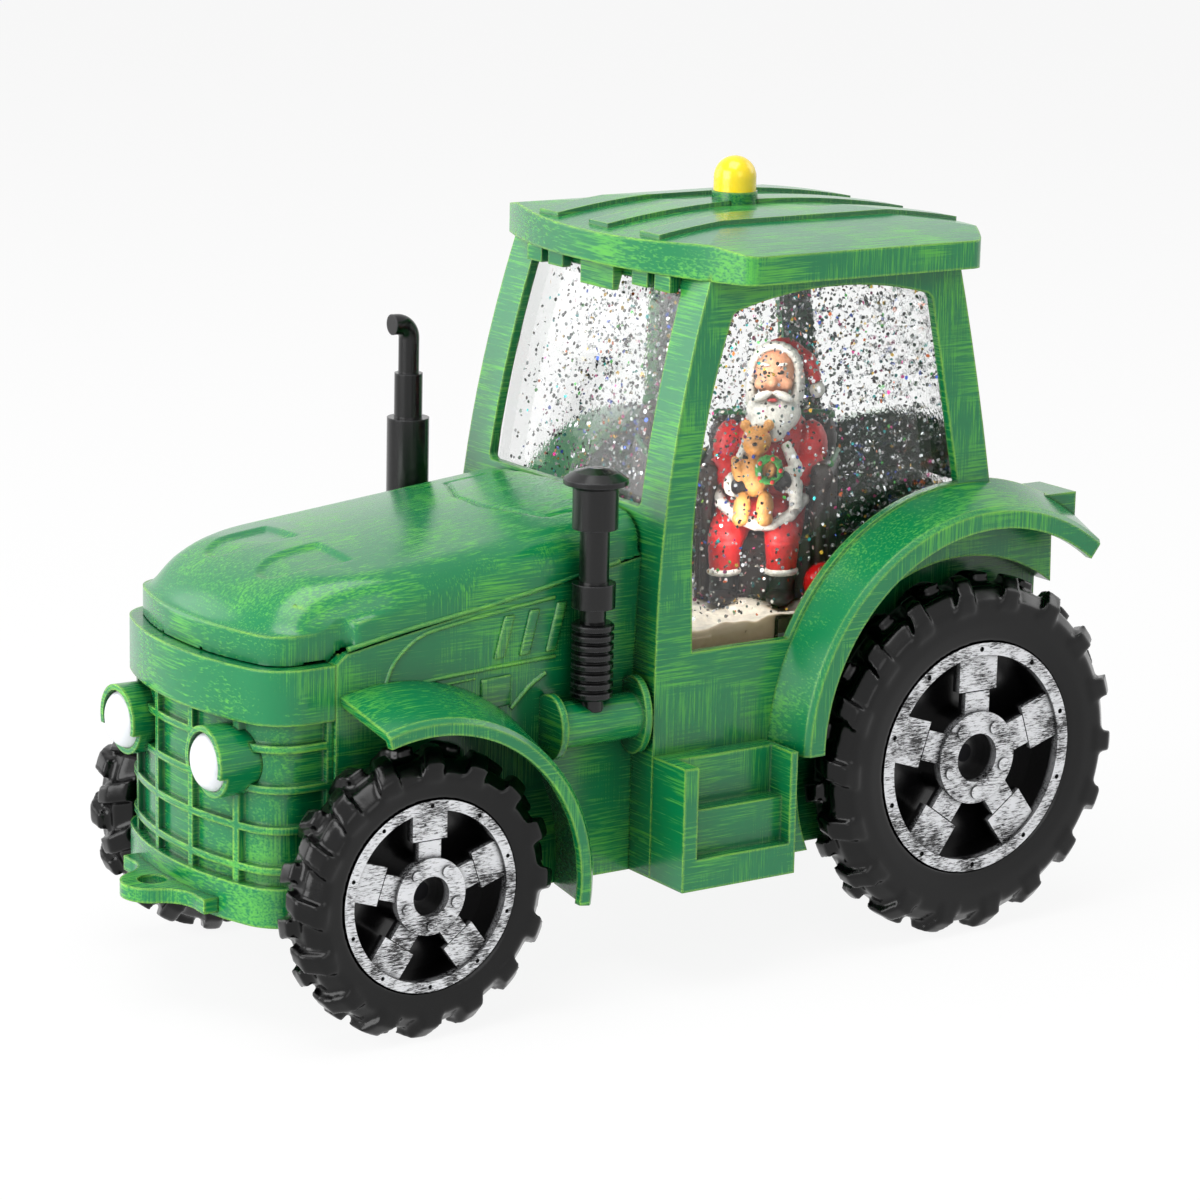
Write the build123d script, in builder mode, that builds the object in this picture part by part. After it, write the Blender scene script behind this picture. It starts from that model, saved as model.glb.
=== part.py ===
from build123d import *
import os
from math import cos, radians, sin, sqrt

os.makedirs("parts", exist_ok=True)

# A water-filled lantern shaped like a farm tractor, in millimetres.
# The front of the tractor faces -Y, its left side is +X, the wheels stand on Z = 0,
# and the origin is under the middle of the whole length and width.

# ---------------------------------------------------------------- driving sizes
# running gear
wheelbase = 134.5
nose_overhang = 43.5            # front axle to the tip of the towing eye
rear_tyre_r = 39.0
front_tyre_r = 29.3
rear_rim_r = 25.0
front_rim_r = 19.4
rear_face_x = 47.0              # outer side of the rear tyres
front_face_x = 45.9
tyre_width = 13.0
lug_height = 2.2
rear_lugs = 18                  # per shoulder
front_lugs = 16
lug_turn = 40.0                 # first lug's start, as degrees over the number of lugs
rim_depth = 1.0                 # rim ring behind the tyre's side
axle_r = 2.0
axle_end_gap = 5.5              # axle end behind the rim ring

# casing
wall = 2.0
base_z = 22.5                   # underside of the casing
cab_half_w = 38.5
cab_top_half_w = 35.8
cab_top_z = 144.2
cab_lead = 78.6                 # cab front ahead of the rear axle
cab_top_lead = 65.5
cab_top_trail = -2.4            # top of the cab's rear wall, behind the rear axle
cab_rear = 8.0                  # foot of the rear window wall
body_tail = 24.5                # end of the body behind the rear axle
deck_z = 90.0
sill_z = 68.7
scuttle_z = 97.4                # lower edge of the windscreen opening
engine_half_w = 31.0
well_x = 33.0                   # inner face of the rear wheel wells
arch_r = 42.0                   # radius of the rear wheel wells

# nose, measured from the front axle
nose_lead = 33.5                # front of the bumper band ahead of the front axle
nose_arc_r = 71.5
nose_corner_r = 10.0
nose_joint = 13.5               # grille and collar end this far ahead of the front axle
band_top_z = 30.5
collar_z = 63.0
collar_h = 11.0
bonnet_h = 24.3                 # collar top to the rear crown of the bonnet
bonnet_edge_r = 7.5
bonnet_crown = 1.5              # rise of the middle over the shoulders
bonnet_slope = 0.105
bonnet_ledge = 2.6              # width of the collar left bare round the bonnet
seam_rise = 13.7                # rise of the bonnet's seam towards the cab
panel_inset = 2.2               # grille panel behind the outside of the nose
panel_t = 2.0
bar_inset = 0.8
bar_w = 1.5
bar_count = 4                   # level bars of the grille
lamp_x = 18.1
lamp_z = 54.6
lamp_r = 7.2
lens_r = 5.9
lens_bulge = 2.6                # dome of the lens ahead of its housing
lens_seat = 1.6

# roof
roof_half_w = 44.6
roof_side_front = 62.0          # ahead of the rear axle, at the corners
roof_mid_front = 72.0
roof_side_rear = -4.0           # behind the rear axle, at the corners
roof_mid_rear = 11.0
roof_low_z = 143.4
roof_crown_z = 153.3
roof_edge_z = 149.0
rib_h = 0.9
rib_w = 7.0
rib_x = 18.5
beacon_r = 4.5
beacon_dome_h = 7.3
beacon_base_h = 2.5
beacon_lead = 34.4

# fenders
fender_lip = 1.8
fender_t = 2.2

# pipes beside the bonnet
pipe_x = 35.7
pipe_lead = 92.0                # ahead of the rear axle
canister_r = 4.7
canister_z = 56.3
canister_len = 20.0
peg_z = 82.6                    # peg that holds the air intake

# towing eye
eye_r = 3.0
eye_rim_r = 6.5
eye_t = 3.0
eye_z = 25.0

# water tank and what stands in it
tank_half_w = 33.4
tank_wall = 2.0
tank_gap = 0.5
plug_r = 3.5
tray_z = 58.0
tray_t = 3.0
flange_t = 2.0
seal_t = 0.8
floor_z = 67.0
snow_h = 4.6
seat_h = 14.0
chair_half_w = 11.0
chair_deep = 18.0
chair_arm_h = 29.0
chair_back_h = 38.0
teddy_x = -1.0                  # teddy's middle, to the side of the seat's
ball_r = 4.4

# drive
motor_r = 10.0
motor_h = 19.0
motor_x = -15.0
motor_lead = 17.0
magnet_r = 7.0
impeller_r = 8.0
impeller_h = 3.6
led_x = 15.0
board_z = 50.0
board_t = 1.6

# batteries
cell_r = 7.15
cell_len = 50.5
cell_pitch = 15.0
cell_count = 3
contact_space = 4.4
box_wall = 1.6
door_lead = 67.0                # hinge line ahead of the rear axle
barrel_r = 1.6                  # hinge of the battery door
pin_r = 1.0
barrel_half = 8.0
ear_t = 3.0

# switch
slot_half_x = 4.5
slot_half_y = 1.6
switch_half_x = 6.5
knob_half_x = 2.0
knob_travel = 4.0

# clearances
running = 0.05                  # shaft in bearing, radial
fit = 0.3                       # loose parts in their openings

# ---------------------------------------------------------------- derived places
tip_y = -(nose_overhang + wheelbase + rear_tyre_r) / 2
front_axle_y = tip_y + nose_overhang
rear_axle_y = front_axle_y + wheelbase
nose_y = front_axle_y - nose_lead
nose_joint_y = front_axle_y - nose_joint
cab_front_y = rear_axle_y - cab_lead
collar_top_z = collar_z + collar_h
floor_plate_z = base_z + wall
tank_bottom_z = tray_z + tray_t + flange_t + seal_t
motor_y = rear_axle_y - motor_lead
pipe_y = rear_axle_y - pipe_lead
fender_centre = (rear_axle_y + 0.7, rear_tyre_r + 6.8)
fender_seat_r = 51.3            # where the rear fender meets the cab side
step_top_z = 48.2
step_x = 50.0
step_len = 28.0
pillar_w = 6.4
pillar_h = 9.0
screw_r = 1.35
screw_head_r = 2.6
screw_head_h = 1.6
box_half_w = cell_pitch * cell_count / 2 + 0.8 + box_wall
box_rear_y = rear_axle_y - door_lead - 2.4
box_len = cell_len + contact_space + 2 * box_wall
box_front_y = box_rear_y - box_len
cell_z = floor_plate_z + cell_r - 0.1
box_top_z = cell_z + cell_r + 0.6 + box_wall
corner_in = wall + pillar_w / 2 - 0.3
cab_screws = [(s * (cab_half_w - corner_in), cab_front_y + 12) for s in (-1, 1)]
cab_screws += [(s * (well_x - corner_in), rear_axle_y + body_tail - corner_in) for s in (-1, 1)]
tray_posts = [(s * (well_x - 11), y) for s in (-1, 1)
              for y in (cab_front_y + 14, rear_axle_y + body_tail - 12)]
nose_screws = [(s * (engine_half_w - corner_in), front_axle_y - 8.6) for s in (-1, 1)]


def save(piece, name):
    """Label a finished piece and write it as its own STEP file."""
    piece.label = name
    export_step(piece, f"parts/{name}.step")


def axle_plane(y, z):
    """Plane across the tractor: local x is +Y, local y is +Z, its normal is +X."""
    return Plane(origin=(0, y, z), x_dir=(0, 1, 0), z_dir=(1, 0, 0))


# ---------------------------------------------------------------- cab and body
def cab_block(inset):
    """Closed block of the cab and rear body, all sides moved in by inset."""
    y = rear_axle_y
    with BuildPart() as block:
        with BuildSketch(Plane.YZ):
            with BuildLine():
                Polyline(
                    (cab_front_y, 62), (cab_front_y, base_z), (y + body_tail, base_z),
                    (y + body_tail, deck_z), (y + cab_rear, deck_z),
                )
                ThreePointArc(
                    (y + cab_rear, deck_z), (y + 3.4, (deck_z + cab_top_z) / 2),
                    (y + cab_top_trail, cab_top_z),
                )
                Line((y + cab_top_trail, cab_top_z), (y - cab_top_lead, cab_top_z))
                ThreePointArc(
                    (y - cab_top_lead, cab_top_z), (cab_front_y + 3.3, 103.5), (cab_front_y, 62)
                )
            make_face()
            if inset:
                offset(amount=-inset)
        extrude(amount=cab_half_w + wall, both=True)
        with BuildSketch(Plane.XZ):
            with BuildLine():
                Polyline(
                    (-cab_half_w, base_z), (cab_half_w, base_z), (cab_half_w, sill_z),
                    (cab_top_half_w, cab_top_z), (-cab_top_half_w, cab_top_z),
                    (-cab_half_w, sill_z), (-cab_half_w, base_z),
                )
            make_face()
            if inset:
                offset(amount=-inset)
        extrude(amount=3 * cab_lead, both=True, mode=Mode.INTERSECT)
    return block.part


def well_block(radius, inner_x):
    """The two rear wheel wells as cylinders outside |x| = inner_x."""
    with BuildPart() as wells:
        for side in (-1, 1):
            with BuildSketch(axle_plane(rear_axle_y, rear_tyre_r).offset(side * inner_x)):
                Circle(radius)
            extrude(amount=side * (step_x - inner_x))
    return wells.part


def window_top_z():
    """Height of the upper edge of the front and rear window openings."""
    return cab_top_z - 3.2


cab_outer = cab_block(0)
with BuildPart() as cab_room:
    add(cab_block(wall))
    extrude(cab_room.faces().sort_by(Axis.Z)[-1], amount=2 * wall)
    extrude(cab_room.faces().sort_by(Axis.Z)[0], amount=2 * wall)
    add(well_block(arch_r + wall, well_x - wall), mode=Mode.SUBTRACT)

with BuildPart() as cab_frame:
    add(cab_outer)
    add(well_block(arch_r, well_x), mode=Mode.SUBTRACT)
    add(cab_room.part, mode=Mode.SUBTRACT)
    # screw pillars for the base plate, in the corners of the body
    with BuildSketch(Plane.XY.offset(floor_plate_z)):
        with Locations(*cab_screws):
            Rectangle(pillar_w, pillar_w)
    extrude(amount=pillar_h)
    # side windows, bounded below by the fender's arch
    with BuildSketch(Plane.YZ):
        with BuildLine():
            Polyline((rear_axle_y + 4, sill_z), (rear_axle_y - 69.6, sill_z),
                     (rear_axle_y - 69.8, 87.6))
            ThreePointArc((rear_axle_y - 69.8, 87.6), (rear_axle_y - 67.0, 112),
                          (rear_axle_y - 60.0, cab_top_z - 7.4))
            ThreePointArc((rear_axle_y - 60.0, cab_top_z - 7.4), (rear_axle_y - 34, cab_top_z - 3.6),
                          (rear_axle_y - 9.4, cab_top_z - 7.0))
            Line((rear_axle_y - 9.4, cab_top_z - 7.0), (rear_axle_y + 4, sill_z))
        make_face()
        fillet(vertices().group_by(Axis.Y)[-1] + vertices().group_by(Axis.Y)[-2], radius=2.5)
        with Locations(fender_centre):
            Circle(fender_seat_r, mode=Mode.SUBTRACT)
    extrude(amount=2 * cab_half_w, both=True, mode=Mode.SUBTRACT)
    # windscreen and rear window
    for y, low_z, low_x in ((rear_axle_y - cab_top_lead + 6, scuttle_z, 28.5),
                            (rear_axle_y - 12, deck_z + 5, 28.5)):
        with BuildSketch(Plane.XZ.offset(-y)):
            with BuildLine():
                Polyline((-low_x, low_z), (low_x, low_z), (low_x - 1.2, window_top_z()),
                         (-low_x + 1.2, window_top_z()), (-low_x, low_z))
            make_face()
            fillet(vertices(), radius=1.5)
        extrude(amount=30 if y < rear_axle_y - 30 else -30, mode=Mode.SUBTRACT)
    # passage for the battery box, holes for the rear axle and the base screws
    with BuildSketch(Plane.XZ.offset(-cab_front_y)):
        with Locations((0, base_z)):
            Rectangle(2 * (box_half_w + 1), 2 * (box_top_z + 1 - base_z))
    extrude(amount=2 * wall, both=True, mode=Mode.SUBTRACT)
    with BuildSketch(axle_plane(rear_axle_y, rear_tyre_r)):
        Circle(axle_r + 0.8)
    extrude(amount=2 * cab_half_w, both=True, mode=Mode.SUBTRACT)
    with BuildSketch(Plane.XY.offset(floor_plate_z)):
        with Locations(*cab_screws):
            Circle(screw_r + running)
    extrude(amount=pillar_h - 1, mode=Mode.SUBTRACT)
save(cab_frame.part, "cab_frame")


# ---------------------------------------------------------------- engine housing and nose
def nose_block(inset, low_z, high_z):
    """Closed block with the plan of the nose, moved in by inset, between two heights."""
    half_w = engine_half_w
    side_y = nose_y + nose_arc_r - sqrt(nose_arc_r**2 - half_w**2)
    with BuildPart() as block:
        with BuildSketch(Plane.XY.offset(low_z)):
            with BuildLine():
                Polyline((half_w, side_y), (half_w, cab_front_y), (-half_w, cab_front_y),
                         (-half_w, side_y))
                ThreePointArc((-half_w, side_y), (0, nose_y), (half_w, side_y))
            make_face()
            fillet(vertices().group_by(Axis.Y)[0], radius=nose_corner_r)
            if inset:
                offset(amount=-inset)
        extrude(amount=high_z - low_z)
    return block.part


def nose_ring(outer_inset, inner_inset, low_z, high_z):
    """Curved band round the front of the nose, ahead of the nose joint."""
    with BuildPart() as ring:
        add(nose_block(outer_inset, low_z, high_z))
        add(nose_block(inner_inset, low_z - 1, high_z + 1), mode=Mode.SUBTRACT)
        with BuildSketch(Plane.XY.offset(low_z)):
            with Locations((0, nose_joint_y)):
                Rectangle(3 * engine_half_w, 3 * nose_lead, align=(Align.CENTER, Align.MAX))
        extrude(amount=high_z - low_z, mode=Mode.INTERSECT)
    return ring.part


def bonnet_seam(y):
    """Height of the seam between the bonnet and the housing under it."""
    front_y = nose_joint_y + 2.5
    share = (y - front_y) / (cab_front_y - front_y)
    return collar_top_z + 2.0 + share * (seam_rise - 2.0)


with BuildPart() as front_grille:
    add(nose_ring(panel_inset, panel_inset + panel_t, base_z, collar_z))
    add(nose_ring(0, panel_inset + panel_t, base_z, band_top_z))
    pitch = (collar_z - band_top_z) / bar_count
    for i in range(bar_count):
        z = band_top_z + 2.5 + i * pitch
        add(nose_ring(bar_inset, panel_inset + panel_t, z, z + bar_w))
    with BuildPart(mode=Mode.PRIVATE) as uprights:
        add(nose_ring(bar_inset, panel_inset + panel_t, band_top_z, collar_z))
        with BuildSketch(Plane.XY.offset(base_z)):
            with Locations((-20.5, nose_y), (-7, nose_y), (7, nose_y), (20.5, nose_y)):
                Rectangle(bar_w, 3 * nose_corner_r)
            with Locations((-engine_half_w, nose_joint_y), (engine_half_w, nose_joint_y)):
                Rectangle(8, 3)
        extrude(amount=collar_z, mode=Mode.INTERSECT)
    add(uprights.part)
save(front_grille.part, "front_grille")

with BuildPart() as grille_collar:
    add(nose_ring(0, wall, collar_z, collar_top_z))
    add(nose_ring(0, panel_inset + panel_t, collar_z, collar_z + wall))
    add(nose_ring(0, 6, collar_top_z - wall, collar_top_z))
save(grille_collar.part, "grille_collar")

with BuildPart() as engine_housing:
    with BuildSketch(Plane.YZ):
        with BuildLine():
            Polyline(
                (nose_joint_y, base_z), (cab_front_y + 3, base_z),
                (cab_front_y + 3, bonnet_seam(cab_front_y + 3)),
                (nose_joint_y + 2.5, collar_top_z + 2), (nose_joint_y, collar_top_z),
                (nose_joint_y, base_z),
            )
        make_face()
    extrude(amount=engine_half_w, both=True)
    with BuildSketch(Plane.XY.offset(base_z)):
        with Locations((0, (nose_joint_y + cab_front_y) / 2)):
            Rectangle(2 * (engine_half_w - wall), cab_front_y - nose_joint_y - 2 * wall)
    extrude(amount=cab_top_z, mode=Mode.SUBTRACT)
    with BuildSketch(Plane.XY.offset(floor_plate_z)):
        with Locations(*nose_screws):
            Rectangle(pillar_w, pillar_w)
    extrude(amount=pillar_h)
    with BuildSketch(Plane.XY.offset(floor_plate_z)):
        with Locations(*nose_screws):
            Circle(screw_r + running)
    extrude(amount=pillar_h - 1, mode=Mode.SUBTRACT)
    # passage for the battery box and holes for the front axle
    with BuildSketch(Plane.XZ.offset(-cab_front_y)):
        with Locations((0, base_z)):
            Rectangle(2 * (box_half_w + 1), 2 * (box_top_z + 1 - base_z))
    extrude(amount=2 * wall, both=True, mode=Mode.SUBTRACT)
    with BuildSketch(axle_plane(front_axle_y, front_tyre_r)):
        Circle(axle_r + 0.8)
    extrude(amount=2 * engine_half_w, both=True, mode=Mode.SUBTRACT)
    add(cab_outer, mode=Mode.SUBTRACT)
save(engine_housing.part, "engine_housing")


bonnet_top_z = collar_top_z + bonnet_h
bonnet_front = nose_y + bonnet_ledge
bonnet_rear = cab_front_y + 4
back_plane = Plane(origin=(0, bonnet_rear, bonnet_top_z), x_dir=(1, 0, 0),
                   z_dir=(0, -1, -bonnet_slope))

with BuildPart() as bonnet:
    # nose plan, side profile and rounded back, each cutting the one before
    add(nose_block(bonnet_ledge, collar_z, cab_top_z))
    with BuildSketch(Plane.XY.offset(collar_z)):
        with Locations((0, nose_joint_y + 4)):
            Rectangle(2 * engine_half_w, cab_front_y - nose_joint_y, align=(Align.CENTER, Align.MIN))
    extrude(amount=cab_top_z - collar_z)
    with BuildSketch(Plane.YZ):
        with BuildLine():
            Polyline((bonnet_rear, bonnet_top_z), (bonnet_rear, bonnet_seam(bonnet_rear)),
                     (nose_joint_y + 2.5, collar_top_z + 2), (nose_joint_y, collar_top_z),
                     (bonnet_front, collar_top_z), (bonnet_front, collar_top_z + 5))
            Spline((bonnet_front, collar_top_z + 5), (bonnet_front + 3, collar_top_z + 10.5),
                   (bonnet_front + 10.5, collar_top_z + 14.8),
                   (bonnet_front + 24, collar_top_z + 17.5), (bonnet_rear - 36, bonnet_top_z - 3.6),
                   (bonnet_rear, bonnet_top_z), tangents=[(0, 1), (1, bonnet_slope)])
        make_face()
    extrude(amount=engine_half_w, both=True, mode=Mode.INTERSECT)
    with BuildSketch(back_plane):
        shoulder_x = engine_half_w - bonnet_edge_r
        bend = bonnet_edge_r * (1 - cos(radians(45)))
        with BuildLine():
            ThreePointArc((-shoulder_x, -bonnet_crown), (0, 0), (shoulder_x, -bonnet_crown))
            for side in (-1, 1):
                ThreePointArc((side * shoulder_x, -bonnet_crown),
                              (side * (engine_half_w - bend), -bonnet_crown - bend),
                              (side * engine_half_w, -bonnet_crown - bonnet_edge_r))
            Polyline((engine_half_w, -bonnet_crown - bonnet_edge_r), (engine_half_w, -cab_lead),
                     (-engine_half_w, -cab_lead), (-engine_half_w, -bonnet_crown - bonnet_edge_r))
        make_face()
    extrude(amount=2 * cab_lead, both=True, mode=Mode.INTERSECT)
    # flat-sided hollow, open below and behind
    with BuildPart(mode=Mode.PRIVATE) as hollow:
        with BuildSketch(Plane.YZ):
            with BuildLine():
                Polyline((bonnet_rear + 1, bonnet_top_z), (bonnet_rear + 1, collar_z),
                         (bonnet_front + wall + 2, collar_z),
                         (bonnet_front + wall + 2, collar_top_z + 6),
                         (bonnet_front + 13, collar_top_z + 12.5),
                         (bonnet_front + 24, collar_top_z + 14.5),
                         (bonnet_rear - 36, bonnet_top_z - 3.6 - wall),
                         (bonnet_rear + 1, bonnet_top_z))
            make_face()
        extrude(amount=engine_half_w - wall, both=True)
        with BuildSketch(back_plane.offset(-1)):
            with Locations((0, -bonnet_crown - wall)):
                Rectangle(2 * (engine_half_w - wall), cab_lead, align=(Align.CENTER, Align.MAX))
            chamfer(vertices().group_by(Axis.Z)[-1], length=bonnet_edge_r - wall)
        extrude(amount=2 * cab_lead, both=True, mode=Mode.INTERSECT)
        with BuildSketch(Plane.XY.offset(collar_z)):
            with Locations((0, bonnet_front)):
                Rectangle(2 * (engine_half_w - bonnet_ledge - wall), cab_lead,
                          align=(Align.CENTER, Align.MIN))
            chamfer(vertices().group_by(Axis.Y)[0], length=14)
            with Locations((0, nose_joint_y + 4 + wall)):
                Rectangle(2 * (engine_half_w - wall), 3 * cab_lead, align=(Align.CENTER, Align.MIN))
        extrude(amount=cab_lead, mode=Mode.INTERSECT)
    add(hollow.part, mode=Mode.SUBTRACT)
    add(cab_outer, mode=Mode.SUBTRACT)
save(bonnet.part, "bonnet")


# ---------------------------------------------------------------- roof and lamps
def roof_block(lift):
    """Closed roof slab, arched along and across, its top raised by lift."""
    y = rear_axle_y
    with BuildPart() as block:
        with BuildSketch(Plane.XY.offset(roof_low_z)):
            with BuildLine():
                ThreePointArc((-roof_half_w, y - roof_side_front), (0, y - roof_mid_front),
                              (roof_half_w, y - roof_side_front))
                Line((roof_half_w, y - roof_side_front), (roof_half_w, y + roof_side_rear))
                ThreePointArc((roof_half_w, y + roof_side_rear), (0, y + roof_mid_rear),
                              (-roof_half_w, y + roof_side_rear))
                Line((-roof_half_w, y + roof_side_rear), (-roof_half_w, y - roof_side_front))
            make_face()
            fillet(vertices(), radius=4)
        extrude(amount=30)
        with BuildSketch(Plane.YZ):
            with BuildLine():
                ThreePointArc((y - roof_mid_front - 1, roof_crown_z - 3.8 + lift),
                              (y - 32, roof_crown_z + lift),
                              (y + roof_mid_rear + 1, roof_crown_z - 4.4 + lift))
                Polyline((y + roof_mid_rear + 1, roof_crown_z - 4.4 + lift),
                         (y + roof_mid_rear + 1, roof_low_z), (y - roof_mid_front - 1, roof_low_z),
                         (y - roof_mid_front - 1, roof_crown_z - 3.8 + lift))
            make_face()
        extrude(amount=roof_half_w + 1, both=True, mode=Mode.INTERSECT)
        with BuildSketch(Plane.XZ):
            with BuildLine():
                ThreePointArc((-roof_half_w - 1, roof_edge_z + lift), (0, roof_crown_z + lift),
                              (roof_half_w + 1, roof_edge_z + lift))
                Polyline((roof_half_w + 1, roof_edge_z + lift), (roof_half_w + 1, roof_low_z),
                         (-roof_half_w - 1, roof_low_z), (-roof_half_w - 1, roof_edge_z + lift))
            make_face()
        extrude(amount=2 * cab_lead, both=True, mode=Mode.INTERSECT)
    return block.part


beacon_y = rear_axle_y - beacon_lead
with BuildPart() as roof:
    add(roof_block(0))
    with BuildPart(mode=Mode.PRIVATE) as ribs:
        add(roof_block(rib_h))
        with BuildSketch(Plane.XY.offset(roof_low_z + 1)):
            with Locations((-rib_x, beacon_y + 4), (0, beacon_y + 4), (rib_x, beacon_y + 4)):
                Rectangle(rib_w, cab_lead - 2)
        extrude(amount=cab_lead, mode=Mode.INTERSECT)
    add(ribs.part)
    # pocket that drops over the cab's upper edge
    add(extrude(cab_outer.faces().sort_by(Axis.Z)[-1], amount=0.6, mode=Mode.PRIVATE),
        mode=Mode.SUBTRACT)
    add(cab_outer, mode=Mode.SUBTRACT)
    with BuildSketch(Plane.XY.offset(roof_low_z + 4.2)):
        with Locations((0, rear_axle_y - 34)):
            Rectangle(2 * cab_top_half_w - 8, 54)
    extrude(amount=-4.2, mode=Mode.SUBTRACT)
    with BuildSketch(Plane.XY.offset(roof_crown_z - 1.5)):
        with Locations((0, beacon_y)):
            Circle(beacon_r + 0.3 + running)
    extrude(amount=5, mode=Mode.SUBTRACT)
save(roof.part, "roof")

with BuildPart() as roof_lamps:
    for x, w, h in ((-23.5, 5.5, 3.4), (-15.5, 5.5, 3.4), (0, 12, 5.6), (15.5, 5.5, 3.4),
                    (23.5, 5.5, 3.4)):
        with BuildSketch(Plane.XY.offset(roof_low_z)):
            with Locations((x, rear_axle_y - roof_mid_front + 3.2)):
                Rectangle(w, 4.6, align=(Align.CENTER, Align.MIN))
        extrude(amount=-h)
    add(cab_outer, mode=Mode.SUBTRACT)
save(roof_lamps.part, "roof_lamps")

with BuildPart() as beacon_base:
    with BuildSketch(Plane.XY.offset(roof_crown_z - 1.5)):
        with Locations((0, beacon_y)):
            Circle(beacon_r + 0.3)
    extrude(amount=beacon_base_h + 1.5)
save(beacon_base.part, "beacon_base")

with BuildPart() as beacon_lens:
    low_z = roof_crown_z + beacon_base_h
    with BuildSketch(Plane.XZ.offset(-beacon_y)):
        with BuildLine():
            Polyline((0, low_z + beacon_dome_h), (0, low_z), (beacon_r, low_z),
                     (beacon_r, low_z + beacon_dome_h - beacon_r))
            RadiusArc((beacon_r, low_z + beacon_dome_h - beacon_r), (0, low_z + beacon_dome_h),
                      -beacon_r)
        make_face()
    revolve(axis=Axis((0, beacon_y, 0), (0, 0, 1)))
save(beacon_lens.part, "beacon_lens")

lamp_front_y = nose_y - 0.4
for side, word in ((1, "left"), (-1, "right")):
    with BuildPart() as lamp_housing:
        with BuildSketch(Plane.XZ.offset(-lamp_front_y)):
            with Locations((side * lamp_x, lamp_z)):
                Circle(lamp_r)
        extrude(amount=-12)
        with BuildSketch(Plane.XZ.offset(-lamp_front_y)):
            with Locations((side * lamp_x, lamp_z)):
                Circle(lamp_r)
                Circle(lamp_r - 1.2, mode=Mode.SUBTRACT)
            with Locations((side * lamp_x, lamp_z - 2)):
                Rectangle(3 * lamp_r, 2 * lamp_r, align=(Align.CENTER, Align.MAX),
                          mode=Mode.SUBTRACT)
        extrude(amount=1.6)
        with BuildSketch(Plane.XZ.offset(-lamp_front_y)):
            with Locations((side * lamp_x, lamp_z)):
                Circle(lens_r + running)
        extrude(amount=-lens_seat, mode=Mode.SUBTRACT)
        add(nose_block(panel_inset, base_z, collar_z), mode=Mode.SUBTRACT)
        add(front_grille.part, mode=Mode.SUBTRACT)
    save(lamp_housing.part, f"headlamp_housing_{word}")

    with BuildPart() as lamp_lens:
        with BuildSketch(Plane.XZ.offset(-lamp_front_y - lens_seat)):
            with Locations((side * lamp_x, lamp_z)):
                Circle(lens_r)
        extrude(amount=lens_seat + lens_bulge)
        fillet(lamp_lens.edges().sort_by(Axis.Y)[0], radius=lens_bulge + 0.6)
    save(lamp_lens.part, f"headlamp_lens_{word}")

with BuildPart() as tow_hook:
    eye_y = tip_y + eye_rim_r
    neck_x = eye_rim_r * cos(radians(15))
    neck_y = eye_y - eye_rim_r * sin(radians(15))
    wing_x = 14.0
    wing_y = nose_y - 1.2
    with BuildSketch(Plane.XY.offset(eye_z - eye_t / 2)):
        with BuildLine():
            ThreePointArc((-neck_x, neck_y), (0, tip_y), (neck_x, neck_y))
            ThreePointArc((neck_x, neck_y), (0.65 * neck_x + 0.35 * wing_x, 0.75 * wing_y + 0.25 * neck_y),
                          (wing_x, wing_y))
            Polyline((wing_x, wing_y), (wing_x + 3, wing_y), (wing_x + 3, nose_y + 4),
                     (-wing_x - 3, nose_y + 4), (-wing_x - 3, wing_y), (-wing_x, wing_y))
            ThreePointArc((-wing_x, wing_y), (-0.65 * neck_x - 0.35 * wing_x, 0.75 * wing_y + 0.25 * neck_y),
                          (-neck_x, neck_y))
        make_face()
        with Locations((0, eye_y)):
            Circle(eye_r, mode=Mode.SUBTRACT)
    extrude(amount=eye_t)
    add(nose_block(0, base_z, collar_z), mode=Mode.SUBTRACT)
save(tow_hook.part, "tow_hook")


# ---------------------------------------------------------------- fenders, steps, tail blocks


def arch(centre, side, inner_x, outer_x, seat_r, rim_r, lip_depth, start, sweep):
    """Fender swept about a wheel: flared plate with a deeper lip along its outer edge."""
    y, z = centre
    with BuildPart() as plate:
        turn = radians(start)
        with BuildSketch(Plane(origin=(0, y, z), x_dir=(1, 0, 0), z_dir=(0, -sin(turn), cos(turn)))):
            with BuildLine():
                Polyline(
                    (side * inner_x, seat_r), (side * (outer_x - 1), rim_r + 0.3),
                    (side * outer_x, rim_r - 0.7), (side * outer_x, rim_r - lip_depth),
                    (side * (outer_x - fender_lip), rim_r - lip_depth),
                    (side * (outer_x - fender_lip), rim_r + 0.6 - fender_t),
                    (side * inner_x, seat_r - fender_t), (side * inner_x, seat_r),
                )
            make_face()
        revolve(axis=Axis((0, y, z), (1, 0, 0)), revolution_arc=sweep)
    return plate.part


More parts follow.
